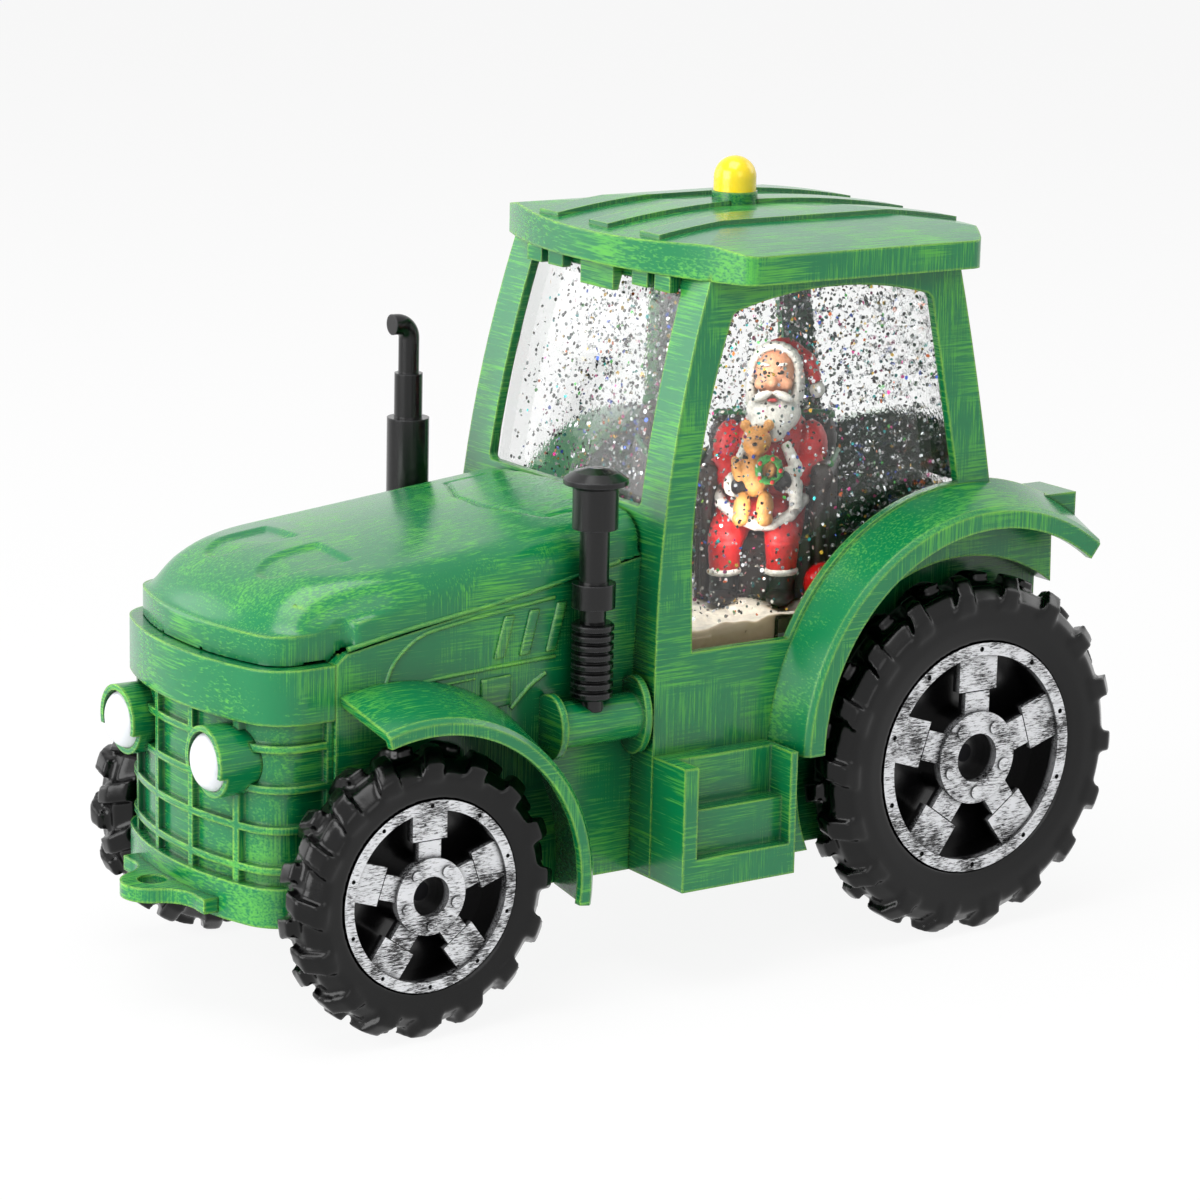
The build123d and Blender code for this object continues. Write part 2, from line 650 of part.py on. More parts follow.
front_fender_centre = (front_axle_y - 1.3, front_tyre_r - 1.5)
for side, word in ((1, "left"), (-1, "right")):
    with BuildPart() as rear_fender:
        add(arch(fender_centre, side, cab_top_half_w, cab_half_w + 9.7, fender_seat_r + 0.3, 47.4,
                 4.4, 52, 128))
        add(cab_outer, mode=Mode.SUBTRACT)
    save(rear_fender.part, f"rear_fender_{word}")

    with BuildPart() as front_fender:
        add(arch(front_fender_centre, side, engine_half_w, engine_half_w + 16.7, 41.5, 37.4,
                 3.0, -8, 114))
    save(front_fender.part, f"front_fender_{word}")

    with BuildPart() as step:
        with BuildSketch(Plane.XY.offset(base_z)):
            with Locations((side * (cab_half_w + step_x) / 2, cab_front_y + step_len / 2)):
                Rectangle(step_x - cab_half_w, step_len)
        extrude(amount=step_top_z - base_z)
        for low_z, depth in ((base_z + 6.5, 3.0), (base_z + 15.8, 7.0)):
            with BuildSketch(Plane.XY.offset(low_z)):
                with Locations((side * (step_x - depth / 2), cab_front_y + step_len / 2 + 0.9)):
                    Rectangle(depth, step_len - 5)
            extrude(amount=step_top_z, mode=Mode.SUBTRACT)
    save(step.part, f"step_{word}")

    with BuildPart() as tail_block:
        with BuildSketch(Plane.XY.offset(deck_z - 5.5)):
            with Locations((side * 31.8, rear_axle_y + 24.5)):
                Rectangle(12, 13)
        extrude(amount=7.5)
        add(cab_outer, mode=Mode.SUBTRACT)
        add(rear_fender.part, mode=Mode.SUBTRACT)
    save(tail_block.part, f"tail_block_{word}")

# ---------------------------------------------------------------- pipes beside the bonnet
pipe_foot_z = canister_z + canister_r + 0.6


def turned(x, y, outline):
    """Solid turned about a vertical line at (x, y) from (radius, height) corners."""
    with BuildPart() as solid:
        with BuildSketch(Plane(origin=(x, y, 0), x_dir=(1, 0, 0), z_dir=(0, -1, 0))):
            with BuildLine():
                Polyline((0, outline[0][1]), *outline, (0, outline[-1][1]), (0, outline[0][1]))
            make_face()
        revolve(axis=Axis((x, y, 0), (0, 0, 1)))
    return solid.part


def bellows(low_z, high_z, rings, outer_r, inner_r):
    """Corners of a ribbed boot, from its foot to its neck."""
    pitch = (high_z - low_z) / rings
    corners = []
    for i in range(rings):
        z = low_z + i * pitch
        corners += [(inner_r, z), (outer_r, z + 0.25 * pitch), (outer_r, z + 0.75 * pitch)]
    return corners + [(inner_r, high_z)]


with BuildPart() as air_intake:
    add(turned(pipe_x, pipe_y, [(2.6, 77.2), (2.6, 80.2), (4.4, 80.2), (4.4, 85.2), (3.0, 85.2),
                                (3.0, 96.2), (4.6, 96.2), (4.6, 104.4), (6.5, 105.2),
                                (6.5, 106.2), (4.4, 107.6), (1.5, 108.4)]))
    with BuildSketch(axle_plane(pipe_y, peg_z).offset(engine_half_w)):
        Circle(1.4)
    extrude(amount=pipe_x - engine_half_w)
save(air_intake.part, "air_intake")

canister_x = engine_half_w + 3.2
with BuildPart() as side_canisters:
    for side in (-1, 1):
        middle = Plane(origin=(side * canister_x, pipe_y + 1.5, canister_z), x_dir=(1, 0, 0),
                       z_dir=(0, -1, 0))
        with BuildSketch(middle):
            Circle(canister_r)
        extrude(amount=canister_len / 2, both=True)
        for end, flange_h in ((-1, canister_r + 3.4), (1, canister_r + 2.0)):
            with BuildSketch(middle.offset(end * canister_len / 2)):
                Ellipse(canister_r + 0.8, flange_h)
            extrude(amount=0.8, both=True)
    with BuildSketch(Plane.XY.offset(base_z)):
        with Locations((0, pipe_y)):
            Rectangle(2 * engine_half_w, 3 * canister_len)
    extrude(amount=2 * canister_z, mode=Mode.SUBTRACT)
save(side_canisters.part, "side_canisters")

with BuildPart() as intake_boot:
    add(turned(pipe_x, pipe_y, bellows(pipe_foot_z, 77.2, 8, 4.3, 3.6)))
    with BuildSketch(Plane(origin=(pipe_x, pipe_y, pipe_foot_z))):
        Circle(2.5)
    extrude(amount=-2.5)
    add(side_canisters.part, mode=Mode.SUBTRACT)
save(intake_boot.part, "intake_boot")

with BuildPart() as exhaust_pipe:
    add(turned(-pipe_x, pipe_y, [(4.5, 64), (4.5, 106.5), (3.0, 106.5), (3.0, 116), (2.2, 116),
                                 (2.2, 122)]))
    for z in (68.0, 84.0):
        with BuildSketch(axle_plane(pipe_y, z).offset(-engine_half_w)):
            with Locations((0, 0)):
                Circle(1.4)
        extrude(amount=engine_half_w - pipe_x)
    with BuildLine(Plane(origin=(-pipe_x, pipe_y, 0), x_dir=(0, 1, 0), z_dir=(1, 0, 0))):
        Line((0, 121), (0, 123.5))
        ThreePointArc((0, 123.5), (-3 * (1 - cos(radians(45))), 123.5 + 3 * sin(radians(45))),
                      (-3, 126.5))
        Line((-3, 126.5), (-4.2, 126.5))
    with BuildSketch(Plane(origin=(-pipe_x, pipe_y, 121))):
        Circle(2.2)
    sweep()
save(exhaust_pipe.part, "exhaust_pipe")

# ---------------------------------------------------------------- wheels
def wheel_frame(side, y, z):
    """Frame of a wheel: its local Z runs out of the tractor's side."""
    return Location(Plane(origin=(0, y, z), x_dir=(0, side, 0), z_dir=(side, 0, 0)))


def tyre_block(top_r, rim_r, face_x, bulge):
    """Plain ring of the tyre about local Z, its sides drawn in by bulge."""
    low, high = face_x - tyre_width, face_x
    side_r = top_r - 3.0
    with BuildPart() as block:
        with BuildSketch(Plane.XZ):
            with BuildLine():
                Polyline((rim_r, low + 1.2), (rim_r, high - rim_depth), (rim_r + 4, high - bulge),
                         (side_r, high - bulge), (top_r, high - 3.0 - bulge),
                         (top_r, low + 3.0 + bulge), (side_r, low + bulge),
                         (rim_r + 4, low + bulge), (rim_r, low + 1.2))
            make_face()
        revolve(axis=Axis.Z)
    return block.part


def tyre_solid(outer_r, rim_r, face_x, lugs):
    """Tyre about local Z with slanted lugs that meet over the middle and wrap the shoulders."""
    mid = face_x - tyre_width / 2
    with BuildPart() as treads:
        for half in (-1, 1):
            with BuildPart(mode=Mode.PRIVATE) as bar:
                with BuildSketch(Plane.YZ.offset(rim_r + 4)):
                    with BuildLine():
                        Polyline((0, mid - half * 0.6), (3.8, mid - half * 0.6),
                                 (8.8, mid + half * tyre_width), (3.4, mid + half * tyre_width),
                                 (0, mid - half * 0.6))
                    make_face()
                extrude(amount=outer_r)
            with PolarLocations(0, lugs, start_angle=(90 * (1 + half) + lug_turn) / lugs):
                add(bar.part)
        add(tyre_block(outer_r, rim_r, face_x, 0), mode=Mode.INTERSECT)
        with BuildSketch(Plane.XY.offset(face_x - tyre_width - 1)):
            Circle(outer_r - lug_height - 4.5)
        extrude(amount=tyre_width + 2, mode=Mode.SUBTRACT)
    with BuildPart() as tyre:
        add(tyre_block(outer_r - lug_height, rim_r, face_x, 0.4))
        add(treads.part)
    return tyre.part


def rim_solid(rim_r, face_x):
    """Five-spoke rim about local Z with its hub, back disc and five wheel nuts."""
    ring_z = face_x - rim_depth
    back_z = face_x - tyre_width + 2.0
    hub_r = 0.40 * rim_r
    with BuildPart() as rim:
        with BuildSketch(Plane.XY.offset(back_z)):
            Circle(rim_r - running)
        extrude(amount=2.0)
        with BuildSketch(Plane.XY.offset(back_z)):
            Circle(rim_r - running)
            Circle(0.89 * rim_r, mode=Mode.SUBTRACT)
            Circle(hub_r)
        extrude(amount=ring_z - back_z)
        with BuildSketch(Plane.XY.offset(ring_z - 3.0)):
            with PolarLocations(0, 5, start_angle=90):
                with Locations((0.42 * rim_r, 0)):
                    Rectangle(0.3 * rim_r, 0.26 * rim_r)
                with Locations((0.76 * rim_r, 0)):
                    Rectangle(0.36 * rim_r, 0.40 * rim_r)
        extrude(amount=2.2)
        with BuildSketch(Plane.XY.offset(ring_z)):
            with PolarLocations(0, 5, start_angle=54):
                with Locations((0.30 * rim_r, 0)):
                    Circle(0.055 * rim_r)
        extrude(amount=0.5)
        with BuildSketch(Plane.XY.offset(ring_z)):
            with PolarLocations(0, 10, start_angle=18):
                with Locations((0.945 * rim_r, 0)):
                    Circle(0.022 * rim_r)
        extrude(amount=-0.6, mode=Mode.SUBTRACT)
        with BuildSketch(Plane.XY.offset(ring_z + 1)):
            Circle(0.21 * rim_r)
        extrude(amount=-axle_end_gap, mode=Mode.SUBTRACT)
        with BuildSketch(Plane.XY.offset(back_z)):
            Circle(axle_r)
        extrude(amount=face_x, mode=Mode.SUBTRACT)
    return rim.part


wheel_sets = (
    ("rear", rear_axle_y, rear_tyre_r, rear_rim_r, rear_face_x, rear_lugs),
    ("front", front_axle_y, front_tyre_r, front_rim_r, front_face_x, front_lugs),
)
for word, y, tyre_r, rim_r, face_x, lugs in wheel_sets:
    tyre = tyre_solid(tyre_r, rim_r, face_x, lugs)
    rim = rim_solid(rim_r, face_x)
    for side, hand in ((1, "left"), (-1, "right")):
        place = wheel_frame(side, y, tyre_r)
        save(tyre.moved(place), f"tyre_{word}_{hand}")
        save(rim.moved(place), f"rim_{word}_{hand}")
    with BuildPart() as axle:
        with BuildSketch(axle_plane(y, tyre_r)):
            Circle(axle_r)
        extrude(amount=face_x - rim_depth - axle_end_gap + 1, both=True)
    save(axle.part, f"{word}_axle")


# ---------------------------------------------------------------- base plate, door and screws
def bore_x(y, z, radius, half_len):
    """Round pin or bore along X, centred on the tractor's middle plane."""
    with BuildPart() as pin:
        with BuildSketch(axle_plane(y, z)):
            Circle(radius)
        extrude(amount=half_len, both=True)
    return pin.part


door_half_w = box_half_w - box_wall - 0.6
door_y = rear_axle_y - door_lead
door_front_y = box_front_y + box_wall + 0.6
hinge_z = base_z + 2.6
door_swing = hinge_z - base_z + fit
switch_y = cab_front_y + 20.6

with BuildPart() as base_plate:
    with BuildSketch(Plane.XY.offset(base_z)):
        with Locations((0, nose_joint_y + wall + fit)):
            Rectangle(2 * (engine_half_w - wall - fit),
                      cab_front_y - nose_joint_y - 2 * (wall + fit),
                      align=(Align.CENTER, Align.MIN))
    extrude(amount=wall)
    with BuildPart(mode=Mode.PRIVATE) as cab_floor:
        add(cab_block(wall + fit))
        extrude(cab_floor.faces().sort_by(Axis.Z)[0], amount=2 * wall)
        add(well_block(arch_r + wall + fit, well_x - wall - fit), mode=Mode.SUBTRACT)
        with BuildSketch(Plane.XY.offset(base_z)):
            Rectangle(3 * cab_half_w, 3 * cab_lead)
        extrude(amount=wall, mode=Mode.INTERSECT)
    add(cab_floor.part)
    with BuildSketch(Plane.XY.offset(base_z)):
        with Locations((0, cab_front_y)):
            Rectangle(2 * (box_half_w + 1 - fit), 4 * wall)
    extrude(amount=wall)
    # bearing blocks of both axles
    for y, z, x in ((front_axle_y, front_tyre_r, engine_half_w - wall - 4.2),
                    (rear_axle_y, rear_tyre_r, well_x - wall - 4.2)):
        with BuildSketch(Plane.XY.offset(base_z)):
            with Locations((-x, y), (x, y)):
                Rectangle(6, 2 * axle_r + 4)
        extrude(amount=z - base_z + axle_r + 2)
        add(bore_x(y, z, axle_r + running, cab_half_w), mode=Mode.SUBTRACT)
    # posts under the tank tray
    with BuildSketch(Plane.XY.offset(base_z)):
        with Locations(*tray_posts):
            Circle(3)
    extrude(amount=tray_z - base_z)
    # door opening, hinge ears
    with BuildSketch(Plane.XY.offset(base_z - 1)):
        with Locations((0, door_front_y - fit)):
            Rectangle(2 * (door_half_w + fit), door_y + door_swing - door_front_y + fit,
                      align=(Align.CENTER, Align.MIN))
    extrude(amount=3 * wall, mode=Mode.SUBTRACT)
    for side in (-1, 1):
        with BuildSketch(axle_plane(door_y, hinge_z).offset(side * (barrel_half + fit))):
            Circle(pin_r + 1.3)
            with Locations((1.2, 0)):
                Rectangle(door_swing, 2 * (pin_r + 1.3), align=(Align.MIN, Align.CENTER))
        extrude(amount=side * ear_t)
    add(bore_x(door_y, hinge_z, pin_r + running, barrel_half + ear_t + 1), mode=Mode.SUBTRACT)
    # screw holes with sunk heads, slot of the switch
    with BuildSketch(Plane.XY.offset(base_z)):
        with Locations(*cab_screws, *nose_screws):
            Circle(screw_r + fit)
        with Locations((0, switch_y)):
            Rectangle(2 * slot_half_x, 2 * slot_half_y)
    extrude(amount=wall, mode=Mode.SUBTRACT)
    with BuildSketch(Plane.XY.offset(base_z)):
        with Locations(*cab_screws, *nose_screws):
            Circle(screw_head_r + fit)
    extrude(amount=1.0, mode=Mode.SUBTRACT)
save(base_plate.part, "base_plate")

with BuildPart() as base_screws:
    with BuildSketch(Plane.XY.offset(base_z + 1.0)):
        with Locations(*cab_screws, *nose_screws):
            Circle(screw_head_r)
    extrude(amount=-screw_head_h + 0.6)
    with BuildSketch(Plane.XY.offset(base_z + 1.0)):
        with Locations(*cab_screws, *nose_screws):
            Circle(screw_r)
    extrude(amount=7.5)
save(base_screws.part, "base_screws")

with BuildPart() as battery_door:
    with BuildSketch(Plane.XY.offset(base_z)):
        with Locations((0, door_front_y)):
            Rectangle(2 * door_half_w, door_y - door_front_y, align=(Align.CENTER, Align.MIN))
        with Locations((0, door_front_y)):
            Rectangle(12, 4, mode=Mode.SUBTRACT)
        with Locations(*[(s * (barrel_half + fit + ear_t / 2), door_y) for s in (-1, 1)]):
            Rectangle(ear_t + 2 * fit, 6.4, mode=Mode.SUBTRACT)
    extrude(amount=wall - 0.4)
    add(bore_x(door_y, hinge_z, barrel_r, barrel_half))
    add(bore_x(door_y, hinge_z, pin_r, barrel_half + ear_t))
    # sprung latch tongue with its finger rib
    with BuildSketch(Plane.XY.offset(base_z)):
        with Locations((0, door_front_y + 0.2)):
            Rectangle(8, 6, align=(Align.CENTER, Align.MIN))
    extrude(amount=1.2)
    with BuildSketch(Plane.XY.offset(base_z)):
        with Locations((0, door_front_y + 1.0)):
            Rectangle(8, 1.0)
    extrude(amount=-0.8)
save(battery_door.part, "battery_door")

# ---------------------------------------------------------------- battery box and cells
with BuildPart() as battery_box:
    with BuildSketch(Plane.XY.offset(floor_plate_z)):
        with Locations((0, box_front_y + box_len / 2)):
            Rectangle(2 * box_half_w, box_len)
    extrude(amount=box_top_z - floor_plate_z)
    with BuildSketch(Plane.XY.offset(floor_plate_z)):
        with Locations((0, box_front_y + box_len / 2)):
            Rectangle(2 * (box_half_w - box_wall), box_len - 2 * box_wall)
    extrude(amount=box_top_z - floor_plate_z - box_wall, mode=Mode.SUBTRACT)
save(battery_box.part, "battery_box")

cell_y = box_front_y + box_wall + contact_space - 0.4 + cell_len / 2
cell_x = [(i - (cell_count - 1) / 2) * cell_pitch for i in range(cell_count)]
with BuildPart() as battery_cells:
    for i, x in enumerate(cell_x):
        way = 1 if i % 2 else -1
        with BuildSketch(Plane.XZ.offset(-cell_y)):
            with Locations((x, cell_z)):
                Circle(cell_r)
        extrude(amount=cell_len / 2 - 1, both=True)
        with BuildSketch(Plane.XZ.offset(-cell_y + way * (cell_len / 2 - 1))):
            with Locations((x, cell_z)):
                Circle(2.7)
        extrude(amount=way * 1.0)
save(battery_cells.part, "battery_cells")

with BuildPart() as battery_contacts:
    for end_y, inward in ((box_front_y + box_wall, 1), (box_rear_y - box_wall, -1)):
        with BuildSketch(Plane.XZ.offset(-end_y)):
            with Locations(*[(x, cell_z) for x in cell_x]):
                Rectangle(10, 11)
        extrude(amount=-inward * 0.4)
    # springs, drawn as their closed coils, fill the space at the negative ends
    for i, x in enumerate(cell_x):
        way = 1 if i % 2 else -1
        flat_y = cell_y + way * (cell_len / 2 - 1)
        plate_y = box_rear_y - box_wall - 0.4 if way > 0 else box_front_y + box_wall + 0.4
        with BuildSketch(Plane.XZ.offset(-plate_y)):
            with Locations((x, cell_z)):
                Circle(3.4)
                Circle(2.7, mode=Mode.SUBTRACT)
        extrude(amount=plate_y - flat_y)
save(battery_contacts.part, "battery_contacts")


# ---------------------------------------------------------------- tray, drive and light
with BuildPart() as tank_tray:
    add(cab_block(wall + fit))
    extrude(tank_tray.faces().sort_by(Axis.Z)[0], amount=2 * wall)
    add(well_block(arch_r + wall + fit, well_x - wall - fit), mode=Mode.SUBTRACT)
    with BuildSketch(Plane.XY.offset(tray_z)):
        with Locations((0, cab_front_y)):
            Rectangle(3 * cab_half_w, cab_lead + body_tail, align=(Align.CENTER, Align.MIN))
    extrude(amount=tray_t, mode=Mode.INTERSECT)
    with BuildSketch(Plane.XY.offset(tray_z)):
        with Locations((motor_x, motor_y)):
            Circle(magnet_r + 1)
        with Locations((led_x, motor_y)):
            Circle(3.2)
    extrude(amount=tray_t, mode=Mode.SUBTRACT)
    with BuildSketch(Plane.XY.offset(tray_z)):
        with Locations(*[(led_x + dx, motor_y + dy) for dx in (-8, 8) for dy in (-9, 9)]):
            Circle(1.8)
    extrude(amount=board_z + board_t - tray_z)
save(tank_tray.part, "tank_tray")

with BuildPart() as circuit_board:
    with BuildSketch(Plane.XY.offset(board_z)):
        with Locations((led_x, motor_y)):
            Rectangle(22, 24)
    extrude(amount=board_t)
    with BuildSketch(Plane.XY.offset(board_z)):
        with Locations((led_x - 4, motor_y + 6), (led_x + 4, motor_y - 5)):
            Rectangle(5, 4)
    extrude(amount=-1.4)
save(circuit_board.part, "circuit_board")

with BuildPart() as led:
    with BuildSketch(Plane.XY.offset(board_z + board_t)):
        with Locations((led_x, motor_y)):
            Circle(2.9)
    extrude(amount=1.0)
    with BuildSketch(Plane.XY.offset(board_z + board_t)):
        with Locations((led_x, motor_y)):
            Circle(2.5)
    extrude(amount=7.6)
    fillet(led.edges().sort_by(Axis.Z)[-1], radius=2.3)
save(led.part, "led")

motor_top_z = tray_z - 1.0 - 2.2
with BuildPart() as motor:
    with BuildSketch(Plane.XY.offset(motor_top_z - motor_h)):
        with Locations((motor_x, motor_y)):
            Circle(motor_r)
    extrude(amount=motor_h)
    with BuildSketch(Plane.XY.offset(motor_top_z)):
        with Locations((motor_x, motor_y)):
            Circle(3)
            Circle(1 + running, mode=Mode.SUBTRACT)
    extrude(amount=0.8)
    with BuildSketch(Plane.XY.offset(motor_top_z - 8)):
        with Locations((motor_x, motor_y)):
            Circle(1 + running)
    extrude(amount=8, mode=Mode.SUBTRACT)
save(motor.part, "motor")

# cup that holds the motor under the tray by two ears
with BuildPart() as motor_bracket:
    with BuildSketch(Plane.XY.offset(motor_top_z - motor_h + 4)):
        with Locations((motor_x, motor_y)):
            Circle(motor_r + 1.4)
            Circle(motor_r, mode=Mode.SUBTRACT)
    extrude(amount=tray_z - motor_top_z + motor_h - 4)
    with BuildSketch(Plane.XY.offset(tray_z - 2)):
        with Locations((motor_x, motor_y)):
            Rectangle(8, 2 * motor_r + 12)
            Circle(motor_r + 0.7, mode=Mode.SUBTRACT)
    extrude(amount=2)
save(motor_bracket.part, "motor_bracket")

with BuildPart() as drive_magnet:
    with BuildSketch(Plane.XY.offset(motor_top_z - 7)):
        with Locations((motor_x, motor_y)):
            Circle(1)
    extrude(amount=7 + 1.2 + 3)
    with BuildSketch(Plane.XY.offset(tray_z - 1)):
        with Locations((motor_x, motor_y)):
            Circle(magnet_r)
    extrude(amount=tray_t + 0.5)
save(drive_magnet.part, "drive_magnet")

# ---------------------------------------------------------------- water tank
shelf_y = rear_axle_y - sqrt((arch_r + wall + tank_gap)**2 - (tray_z - rear_tyre_r)**2) - 0.5
shelf_z = tray_z + tray_t + 8


def tank_block(inset, low_z):
    """Closed block of the tank inside the cab, clear of the wheel wells, moved in by inset."""
    with BuildPart() as block:
        add(cab_block(wall + tank_gap + inset))
        with BuildSketch(Plane.XY.offset(low_z)):
            with Locations((0, rear_axle_y + cab_rear - wall - tank_gap - inset - 1)):
                Rectangle(2 * (tank_half_w - inset), 2 * cab_lead, align=(Align.CENTER, Align.MAX))
        extrude(amount=cab_top_z - low_z, mode=Mode.INTERSECT)
        add(well_block(arch_r + wall + tank_gap + inset, well_x - wall - tank_gap - inset),
            mode=Mode.SUBTRACT)
        with BuildSketch(Plane.XY.offset(tray_z)):
            for side in (-1, 1):
                with Locations((side * (well_x - wall - tank_gap - inset), shelf_y - inset)):
                    Rectangle(20, cab_lead + 20, align=(Align.MIN if side > 0 else Align.MAX,
                                                         Align.MIN))
        extrude(amount=shelf_z + inset - tray_z, mode=Mode.SUBTRACT)
    return block.part


with BuildPart() as tank:
    add(tank_block(0, tank_bottom_z))
    add(tank_block(tank_wall, tank_bottom_z - 1), mode=Mode.SUBTRACT)
save(tank.part, "tank")

flange_z = tray_z + tray_t
pocket_r = impeller_r + 1.0
plug_y = cab_front_y + 16
with BuildPart() as tank_base:
    add(tank_block(0, flange_z))
    with BuildSketch(Plane.XY.offset(flange_z)):
        Rectangle(3 * cab_half_w, 4 * cab_lead)
    extrude(amount=flange_t, mode=Mode.INTERSECT)
    with BuildPart(mode=Mode.PRIVATE) as boss:
        add(tank_block(tank_wall + 0.1, flange_z))
        with BuildSketch(Plane.XY.offset(flange_z)):
            Rectangle(3 * cab_half_w, 4 * cab_lead)
        extrude(amount=floor_z - flange_z, mode=Mode.INTERSECT)
    add(boss.part)
    with BuildSketch(Plane.XY.offset(flange_z + flange_t)):
        with Locations((motor_x, motor_y)):
            Circle(pocket_r)
    extrude(amount=floor_z, mode=Mode.SUBTRACT)
    with BuildSketch(Plane.XY.offset(flange_z)):
        with Locations((motor_x, motor_y)):
            Circle(0.8)
    extrude(amount=flange_t + impeller_h)
    with BuildSketch(Plane.XY.offset(flange_z)):
        with Locations((0, plug_y)):
            Circle(plug_r)
    extrude(amount=floor_z, mode=Mode.SUBTRACT)
save(tank_base.part, "tank_base")

with BuildPart() as tank_seal:
    add(tank_block(0.1, flange_z))
    add(tank_block(tank_wall + 0.1, flange_z - 1), mode=Mode.SUBTRACT)
    with BuildSketch(Plane.XY.offset(flange_z + flange_t)):
        Rectangle(3 * cab_half_w, 4 * cab_lead)
    extrude(amount=seal_t, mode=Mode.INTERSECT)
save(tank_seal.part, "tank_seal")

with BuildPart() as filler_plug:
    with BuildSketch(Plane.XY.offset(flange_z)):
        with Locations((0, plug_y)):
            Circle(plug_r)
    extrude(amount=floor_z - flange_z)
save(filler_plug.part, "filler_plug")

with BuildPart() as impeller:
    with BuildSketch(Plane.XY.offset(flange_z + flange_t + 0.3)):
        with Locations((motor_x, motor_y)):
            Circle(impeller_r)
            Circle(0.8 + running, mode=Mode.SUBTRACT)
    extrude(amount=1.2)
    with BuildSketch(Plane.XY.offset(flange_z + flange_t + 0.3)):
        with Locations((motor_x, motor_y)):
            Circle(2.2)
            Circle(0.8 + running, mode=Mode.SUBTRACT)
            with PolarLocations(0, 6):
                with Locations((4.8, 0)):
                    Rectangle(6, 1.0)
    extrude(amount=impeller_h)
save(impeller.part, "impeller")


# ---------------------------------------------------------------- switch
with BuildPart() as switch_body:
    with BuildSketch(Plane.XY.offset(floor_plate_z)):
        with Locations((0, switch_y)):
            Rectangle(2 * switch_half_x, 6.4)
    extrude(amount=5)
    with BuildSketch(Plane.XY.offset(floor_plate_z)):
        with Locations((0, switch_y)):
            Rectangle(2 * slot_half_x, 2 * slot_half_y)
    extrude(amount=1.5, mode=Mode.SUBTRACT)
save(switch_body.part, "switch_body")

with BuildPart() as switch_slider:
    with BuildSketch(Plane.XY.offset(base_z - 0.8)):
        with Locations((-knob_travel / 2, switch_y)):
            Rectangle(2 * knob_half_x, 2 * slot_half_y - fit)
    extrude(amount=wall + 0.8 + 1.3)
save(switch_slider.part, "switch_slider")

# ---------------------------------------------------------------- scene in the tank
snow_top_z = floor_z + snow_h
scene_turn = radians(55)
seat_frame = Plane(origin=(4, rear_axle_y - 31, snow_top_z),
                   x_dir=(cos(scene_turn), sin(scene_turn), 0), z_dir=(0, 0, 1))

with BuildPart() as snow_base:
    add(tank_block(tank_wall + 0.4, floor_z))
    with BuildSketch(Plane.XY.offset(floor_z)):
        Rectangle(3 * cab_half_w, 4 * cab_lead)
    extrude(amount=snow_h, mode=Mode.INTERSECT)
    with BuildSketch(Plane.XY.offset(floor_z)):
        with Locations((motor_x, motor_y)):
            Circle(pocket_r)
    extrude(amount=snow_h, mode=Mode.SUBTRACT)
save(snow_base.part, "snow_base")

with BuildPart() as armchair:
    with BuildSketch(seat_frame):
        Rectangle(2 * chair_half_w, chair_deep)
    extrude(amount=seat_h)
    with BuildSketch(seat_frame):
        with Locations((-chair_half_w - 2, 0), (chair_half_w + 2, 0)):
            Rectangle(5, chair_deep)
    extrude(amount=chair_arm_h)
    with BuildSketch(seat_frame):
        with Locations((0, chair_deep / 2)):
            Rectangle(2 * chair_half_w + 6, 5)
    extrude(amount=chair_back_h)
    fillet(armchair.edges().group_by(Axis.Z)[-1], radius=2)
save(armchair.part, "armchair")


def at_seat(x, y, z):
    """Point of the seated group: x to its side, y behind it, z above the snow."""
    return seat_frame.from_local_coords(Vector(x, y, z))


# belly, chest, beard, head, arms and knees, each as (x, y, z, radius)
figure_lumps = ((0.3, -2.2, 23.4, 9.3), (1.2, -0.6, 32.3, 8.7), (1.5, -6.5, 40, 6), (1.5, -4, 48, 6.4),
                (-8.6, -2.3, 29.3, 4.7), (9.7, -2.3, 29.3, 4.7), (-7.3, -9.2, 16.2, 4.9),
                (5.1, -9.2, 16.2, 4.9))
shin_x = (-8, 5)
with BuildPart() as santa_figure:
    for x, y, z, radius in figure_lumps:
        with Locations(at_seat(x, y, z)):
            Sphere(radius)
    with Locations(at_seat(1.5, -2.5, 54)):
        Cone(5.6, 2.0, 4)
    for x in shin_x:
        with BuildSketch(Plane(origin=at_seat(x, -12.5, 0.0), z_dir=(0, 0, 1))):
            Circle(3.4)
        extrude(amount=15)
        with BuildSketch(Plane(origin=at_seat(x, -14.5, 0.0), z_dir=(0, 0, 1))):
            Circle(4.0)
        extrude(amount=4)
    add(armchair.part, mode=Mode.SUBTRACT)
save(santa_figure.part, "santa_figure")

with BuildPart() as teddy_bear:
    with Locations(at_seat(teddy_x, -13.5, 34.5)):
        Sphere(3.5)
    with Locations(at_seat(teddy_x, -13, 27)):
        Sphere(4.6)
    with Locations(at_seat(teddy_x, -13.5, 21)):
        Sphere(3.6)
    for side in (-1, 1):
        with Locations(at_seat(teddy_x + side * 2.6, -13.2, 37.6)):
            Sphere(1.3)
    add(santa_figure.part, mode=Mode.SUBTRACT)
save(teddy_bear.part, "teddy_bear")

with BuildPart() as ornament_ball:
    with Locations(at_seat(14.2, -14, ball_r)):
        Sphere(ball_r)
save(ornament_ball.part, "ornament_ball")
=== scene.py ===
import math
import random

import bmesh
import bpy
from mathutils import Euler, Matrix, Vector, noise
from mathutils.bvhtree import BVHTree


